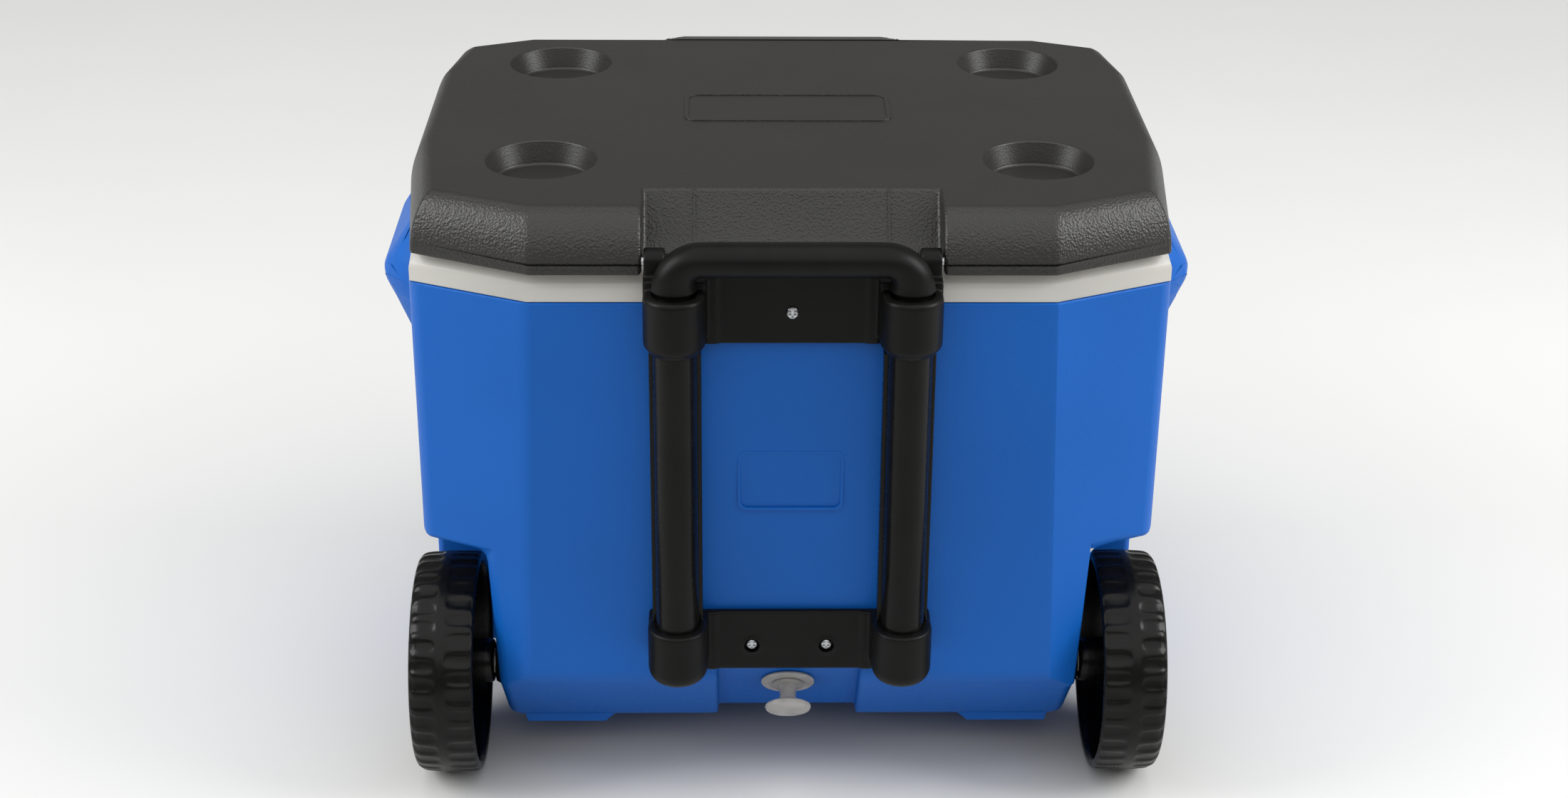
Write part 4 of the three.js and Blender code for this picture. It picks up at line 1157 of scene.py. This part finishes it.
class COOLER_OT_finish_inner_parts(bpy.types.Operator):
    """Gives the parts that are kept from the engineering model their materials"""

    bl_idname = "cooler.finish_inner_parts"
    bl_label = "Inner parts"

    def execute(self, context):
        foam, rubber, nylon, zinc = rigid_foam(), gasket_rubber(), natural_nylon(), bright_zinc()
        kept = {"foam_core": foam, "lid_foam": foam, "drain_gasket": rubber, "drain_nut": milky_polyethylene()}
        for name, _ in SIDES:
            kept["glide_" + name] = kept["wheel_bush_" + name] = nylon
            kept["hinge_pin_" + name] = kept["axle_pin_" + name] = kept["axle_anchor_" + name] = zinc
            kept["axle_flange_" + name] = black_polypropylene()
        for name, material in kept.items():
            node = bpy.data.objects[name]
            node.data.materials.clear()
            node.data.materials.append(material)
        return {"FINISHED"}


# ---------- Materials ----------
def linear(hex_colour):
    """An sRGB hex colour as linear red, green, blue and alpha"""
    channels = [int(hex_colour[i:i + 2], 16) / 255 for i in (1, 3, 5)]
    return (*[c / 12.92 if c <= 0.04045 else ((c + 0.055) / 1.055) ** 2.4 for c in channels], 1.0)


def add(tree, kind, settings=None, links=None):
    """Adds a node, sets its inputs and properties by name and links other sockets into it"""
    node = tree.nodes.new(kind)
    for key, value in (settings or {}).items():
        if isinstance(key, int) or key in node.inputs:
            node.inputs[key].default_value = value
        else:
            setattr(node, key, value)
    for key, socket in (links or {}).items():
        tree.links.new(socket, node.inputs[key])
    return node


def shader(name, settings):
    """A material with one principled shader whose plain values sit on its own sockets"""
    material = bpy.data.materials.new(name)
    material.use_nodes = True
    tree = material.node_tree
    tree.nodes.clear()
    surface = add(tree, "ShaderNodeBsdfPrincipled", settings)
    add(tree, "ShaderNodeOutputMaterial", links={"Surface": surface.outputs[0]})
    place = add(tree, "ShaderNodeTexCoord").outputs["Object"]
    return material, tree, surface, place


def cloud(tree, place, size_mm, detail=3.0, roughness=0.5):
    """Noise whose blobs are about the given size across"""
    settings = {"Scale": 1000 / size_mm, "Detail": detail, "Roughness": roughness}
    return add(tree, "ShaderNodeTexNoise", settings, {"Vector": place})


def blend_colour(tree, surface, factor, first, second):
    mix = add(tree, "ShaderNodeMix", {"data_type": "RGBA"}, {"Factor": factor})
    mix.inputs[6].default_value, mix.inputs[7].default_value = first, second
    tree.links.new(mix.outputs[2], surface.inputs["Base Color"])


def ranged(tree, socket, low_out, high_out, low_in=0.3, high_in=0.7):
    """Maps a pattern's usual span to the span that a socket needs"""
    settings = {"From Min": low_in, "From Max": high_in, "To Min": low_out, "To Max": high_out}
    return add(tree, "ShaderNodeMapRange", settings, {"Value": socket}).outputs[0]


def bumped(tree, surface, height, depth_mm, strength):
    bump = add(tree, "ShaderNodeBump", {"Strength": strength, "Distance": depth_mm * MM}, {"Height": height})
    tree.links.new(bump.outputs[0], surface.inputs["Normal"])


def mottled(name, dark, light, blotch, rough=0.5, bump=None, settings=None):
    """A material whose colour drifts from dark to light in blotches.
    A pattern is the cloud's size in mm, its detail and its roughness, or "cells" and their size in mm.
    rough is one plain number or (pattern, lowest, highest), and bump is (pattern, depth in mm, strength)."""
    plain = {"Base Color": light, "Roughness": rough if isinstance(rough, float) else rough[1], **(settings or {})}
    material, tree, surface, place = shader(name, plain)
    made = {}

    def pattern(key):
        if key not in made and key[0] == "cells":
            cells = add(tree, "ShaderNodeTexVoronoi", {"Scale": 1000 / key[1]}, {"Vector": place})
            made[key] = cells.outputs["Distance"]
        elif key not in made:
            made[key] = cloud(tree, place, *key).outputs[0]
        return made[key]

    blend_colour(tree, surface, ranged(tree, pattern(blotch), 0, 1), dark, light)
    if not isinstance(rough, float):
        tree.links.new(ranged(tree, pattern(rough[0]), *rough[1:]), surface.inputs["Roughness"])
    if bump:
        bumped(tree, surface, pattern(bump[0]), *bump[1:])
    return material


def toned(colour, factor=1.0):
    """A finish colour made darker or lighter, with its alpha"""
    return (*[min(1, c * factor) for c in colour], 1)


def blue_polyethylene(finish):
    # High-density polyethylene, blow-moulded in a blasted mould: a waxy blue with a fine sandy grain
    grain = (1.6, 2)
    return mottled(
        "blow-moulded blue polyethylene", toned(finish.tub, 0.9), toned(finish.tub), (160, 2),
        (grain, 0.38, 0.48), (grain, 0.16, 0.8), {"Specular IOR Level": 0.2},
    )


def white_polyethylene(finish):
    # Polyethylene moulded against polished steel: off-white, smooth, with a soft wide sheen
    ripple = (9, 1)
    return mottled(
        "injection-moulded white polyethylene", toned(finish.liner, 0.95), toned(finish.liner), (90, 2),
        (ripple, 0.33, 0.4), (ripple, 0.05, 0.6),
    )


def charcoal_polyethylene(finish):
    # Polyethylene moulded in an etched tool: pebbled leather grain on the sloping sides, finer on the flat top
    settings = {"Base Color": toned(finish.lid), "Roughness": 0.4, "Specular IOR Level": 0.4}
    material, tree, surface, place = shader("pebble-grained charcoal polyethylene", settings)

    def product(first, second):
        return add(tree, "ShaderNodeMath", {"operation": "MULTIPLY"}, {0: first, 1: second}).outputs[0]

    def vector(operation, first, constant=(0, 0, 0), output=0):
        settings = {"operation": operation, 1: constant}
        return add(tree, "ShaderNodeVectorMath", settings, {0: first}).outputs[output]

    facing = add(tree, "ShaderNodeNewGeometry").outputs["Normal"]
    upright = add(tree, "ShaderNodeSeparateXYZ", links={"Vector": facing}).outputs["Z"]
    slope = ranged(tree, upright, 1, 0.1, 0.86, 0.985)
    # the cup holders are polished: one quarter of the plan stands for all four
    centred = vector("SUBTRACT", vector("MULTIPLY", place, (1, 1, 0)), (0, CENTRE_Y, 0))
    to_cup = vector("DISTANCE", vector("ABSOLUTE", centred), (*CUP_PLACE, 0), "Value")
    grained = product(slope, ranged(tree, to_cup, 0.12, 1, 40 * MM, 42 * MM))
    wobble = cloud(tree, place, 5, 2).outputs[1]
    shifted = add(tree, "ShaderNodeMixRGB", {"blend_type": "ADD", "Fac": 0.0012}, {1: place, 2: wobble}).outputs[0]
    settings = {"feature": "SMOOTH_F1", "Scale": 1000 / 1.6, "Smoothness": 0.6}
    pebble = add(tree, "ShaderNodeTexVoronoi", settings, {"Vector": shifted}).outputs["Distance"]
    fine = cloud(tree, place, 1.1, 2).outputs[0]
    settings = {"operation": "MULTIPLY_ADD", 1: 0.35}
    height = add(tree, "ShaderNodeMath", settings, {0: fine, 2: product(pebble, grained)}).outputs[0]
    bumped(tree, surface, height, 0.6, 0.65)
    tree.links.new(ranged(tree, fine, 0.34, 0.44), surface.inputs["Roughness"])
    broad = cloud(tree, place, 70, 2).outputs[0]
    blend_colour(tree, surface, ranged(tree, broad, 0, 1), toned(finish.lid), toned(finish.lid, 1.12))
    return material


def black_polypropylene():
    # Glass-filled polypropylene from a finely spark-eroded mould: near black, with a dry, soft sheen
    grain = (0.7, 2)
    return mottled(
        "spark-textured black polypropylene", linear("#0a0a09"), linear("#100f0e"), (30, 2),
        (grain, 0.36, 0.46), (grain, 0.06, 0.6), {"Specular IOR Level": 0.14},
    )


def black_enamel():
    # Steel tube with stoved black enamel: a long clean highlight with a faint orange peel
    peel = (2.6, 1)
    return mottled(
        "stoved black enamel on steel tube", linear("#0a0a09"), linear("#100f0e"), (40, 2),
        (peel, 0.2, 0.28), (peel, 0.03, 0.5), {"Specular IOR Level": 0.14},
    )


def glossy_polyethylene():
    # Blow-moulded wheel in unfilled black polyethylene: glossy, with the slow ripples of a blown skin
    ripple, scuff = (14, 2), (6, 3, 0.6)
    return mottled(
        "blow-moulded glossy black polyethylene", linear("#080807"), linear("#0f0e0d"), ripple,
        (scuff, 0.24, 0.32), (ripple, 0.2, 0.4), {"Specular IOR Level": 0.18},
    )


def milky_polyethylene():
    # Uncoloured low-density polyethylene: greyish, a little light passes into it
    cloudy, depth = (8, 2), 4 * MM
    return mottled(
        "uncoloured low-density polyethylene", linear("#9d9a97"), linear("#b4b1ae"), cloudy,
        (cloudy, 0.28, 0.4), (cloudy, 0.05, 0.5),
        {"Subsurface Weight": 0.35, "Subsurface Radius": (depth, depth, depth)},
    )


def bright_zinc():
    # Zinc-plated steel: a cool metal with fine spangle that breaks up its highlight
    spangle = (1.2, 2)
    return mottled(
        "bright zinc-plated steel", linear("#a5a7a9"), linear("#c9cbcd"), spangle,
        (spangle, 0.18, 0.34), settings={"Metallic": 1.0},
    )


def rigid_foam():
    # Foamed-in-place polyurethane: pale straw, matt, full of small cells
    return mottled(
        "rigid polyurethane foam", linear("#dccf99"), linear("#ebe2b6"), (25,),
        0.9, (("cells", 1.5), 0.4, 0.7),
    )


def gasket_rubber():
    # Moulded nitrile rubber: dark, matt, slightly dusty
    dust = (3, 3)
    return mottled("moulded nitrile rubber", linear("#1f1f1e"), linear("#2d2c2b"), dust, 0.75, (dust, 0.05, 0.5))


def natural_nylon():
    # Turned natural nylon: warm off-white with a waxy sheen
    broad = (12, 2)
    return mottled("natural nylon", linear("#d1ccbc"), linear("#dfdbce"), broad, (broad, 0.34, 0.46))


def studio_paint():
    # Matt white wall paint under soft light: pale, with the faintest unevenness of a rolled coat
    return mottled("matte white studio paint", linear("#cececc"), linear("#d0d0ce"), (400, 2), 0.9)


# ---------- Stage ----------
class COOLER_OT_set_stage(bpy.types.Operator):
    """Lays the pale floor and sets the soft lights and the camera"""

    bl_idname = "cooler.set_stage"
    bl_label = "Stage"

    def execute(self, context):
        nothing()
        bpy.ops.mesh.primitive_plane_add(size=80)
        floor = added("studio_floor")
        floor.data.materials.append(studio_paint())
        soft_boxes = [
            ("left softbox", (-2.0, -0.4, 1.5), (1.2, 1.3), 38),
            ("right softbox", (2.0, -0.4, 1.5), (1.2, 1.3), 44),
        ]
        target = Vector((0, 0, 0.22))
        for name, spot, (width, height), power in soft_boxes:
            bpy.ops.object.light_add(type="AREA", location=spot)
            lamp = bpy.context.object
            lamp.name = name
            lamp.rotation_euler = (target - Vector(spot)).to_track_quat("-Z", "Y").to_euler()
            lamp.data.shape, lamp.data.energy = "RECTANGLE", power
            lamp.data.size, lamp.data.size_y = width, height
        bpy.ops.object.light_add(type="SUN", location=(0, -1, 3), rotation=(radians(17), 0, 0))
        canopy = bpy.context.object
        canopy.name = "wide overhead light"
        canopy.data.angle, canopy.data.energy = radians(90), 2.1
        world = bpy.data.worlds.new("white studio")
        context.scene.world = world
        world.use_nodes = True
        world.node_tree.nodes["Background"].inputs[0].default_value = (1, 1, 1, 1)
        world.node_tree.nodes["Background"].inputs[1].default_value = 0.24
        bpy.ops.object.camera_add(location=(-0.037, -1.6915, 1.033))
        camera = bpy.context.object
        turn = Matrix.Rotation(radians(-1.22), 4, "Z") @ Matrix.Rotation(radians(90 - 25.23), 4, "X")
        camera.rotation_euler = (turn @ Matrix.Rotation(radians(0.5), 4, "Z")).to_euler()
        camera.data.lens, camera.data.sensor_width = 57.2, 36
        camera.data.shift_y = -0.0055
        context.scene.camera = camera
        context.scene.view_settings.view_transform = "Standard"
        return {"FINISHED"}


# ---------- Add-on ----------
class CoolerSizes(bpy.types.PropertyGroup):
    cup_rim: bpy.props.FloatProperty(
        name="Cup rim", description="Width of a cup holder at its rim",
        default=76 * MM, unit="LENGTH", subtype="DISTANCE",
    )


def colour_of(part, hex_colour):
    words = {"name": part, "description": "Colour of the " + part.lower()}
    return bpy.props.FloatVectorProperty(default=linear(hex_colour)[:3], subtype="COLOR", **words)


class CoolerFinish(bpy.types.PropertyGroup):
    tub: colour_of("Tub", "#0c5bb2")
    liner: colour_of("Liner", "#c0beb8")
    lid: colour_of("Lid", "#242320")


OPERATORS = (
    COOLER_OT_build_tub,
    COOLER_OT_build_liner,
    COOLER_OT_build_lid,
    COOLER_OT_build_pan,
    COOLER_OT_build_upper_bracket,
    COOLER_OT_build_lower_bracket,
    COOLER_OT_build_tubes,
    COOLER_OT_build_grip,
    COOLER_OT_build_wheels,
    COOLER_OT_build_drain,
    COOLER_OT_build_screws,
    COOLER_OT_finish_inner_parts,
    COOLER_OT_set_stage,
)


class COOLER_PT_panel(bpy.types.Panel):
    bl_label = "Wheeled cooler"
    bl_space_type = "VIEW_3D"
    bl_region_type = "UI"
    bl_category = "Cooler"

    def draw(self, context):
        for operator in OPERATORS:
            self.layout.operator(operator.bl_idname)


CLASSES = (CoolerSizes, CoolerFinish, *OPERATORS, COOLER_PT_panel)


def register():
    for item in CLASSES:
        bpy.utils.register_class(item)
    bpy.types.Scene.cooler_sizes = bpy.props.PointerProperty(type=CoolerSizes)
    bpy.types.Scene.cooler_finish = bpy.props.PointerProperty(type=CoolerFinish)


def unregister():
    del bpy.types.Scene.cooler_sizes
    del bpy.types.Scene.cooler_finish
    for item in reversed(CLASSES):
        bpy.utils.unregister_class(item)


def main():
    register()
    for operator in OPERATORS:
        group, name = operator.bl_idname.split(".")
        getattr(getattr(bpy.ops, group), name)()
    to_object_mode()


if __name__ == "__main__":
    main()
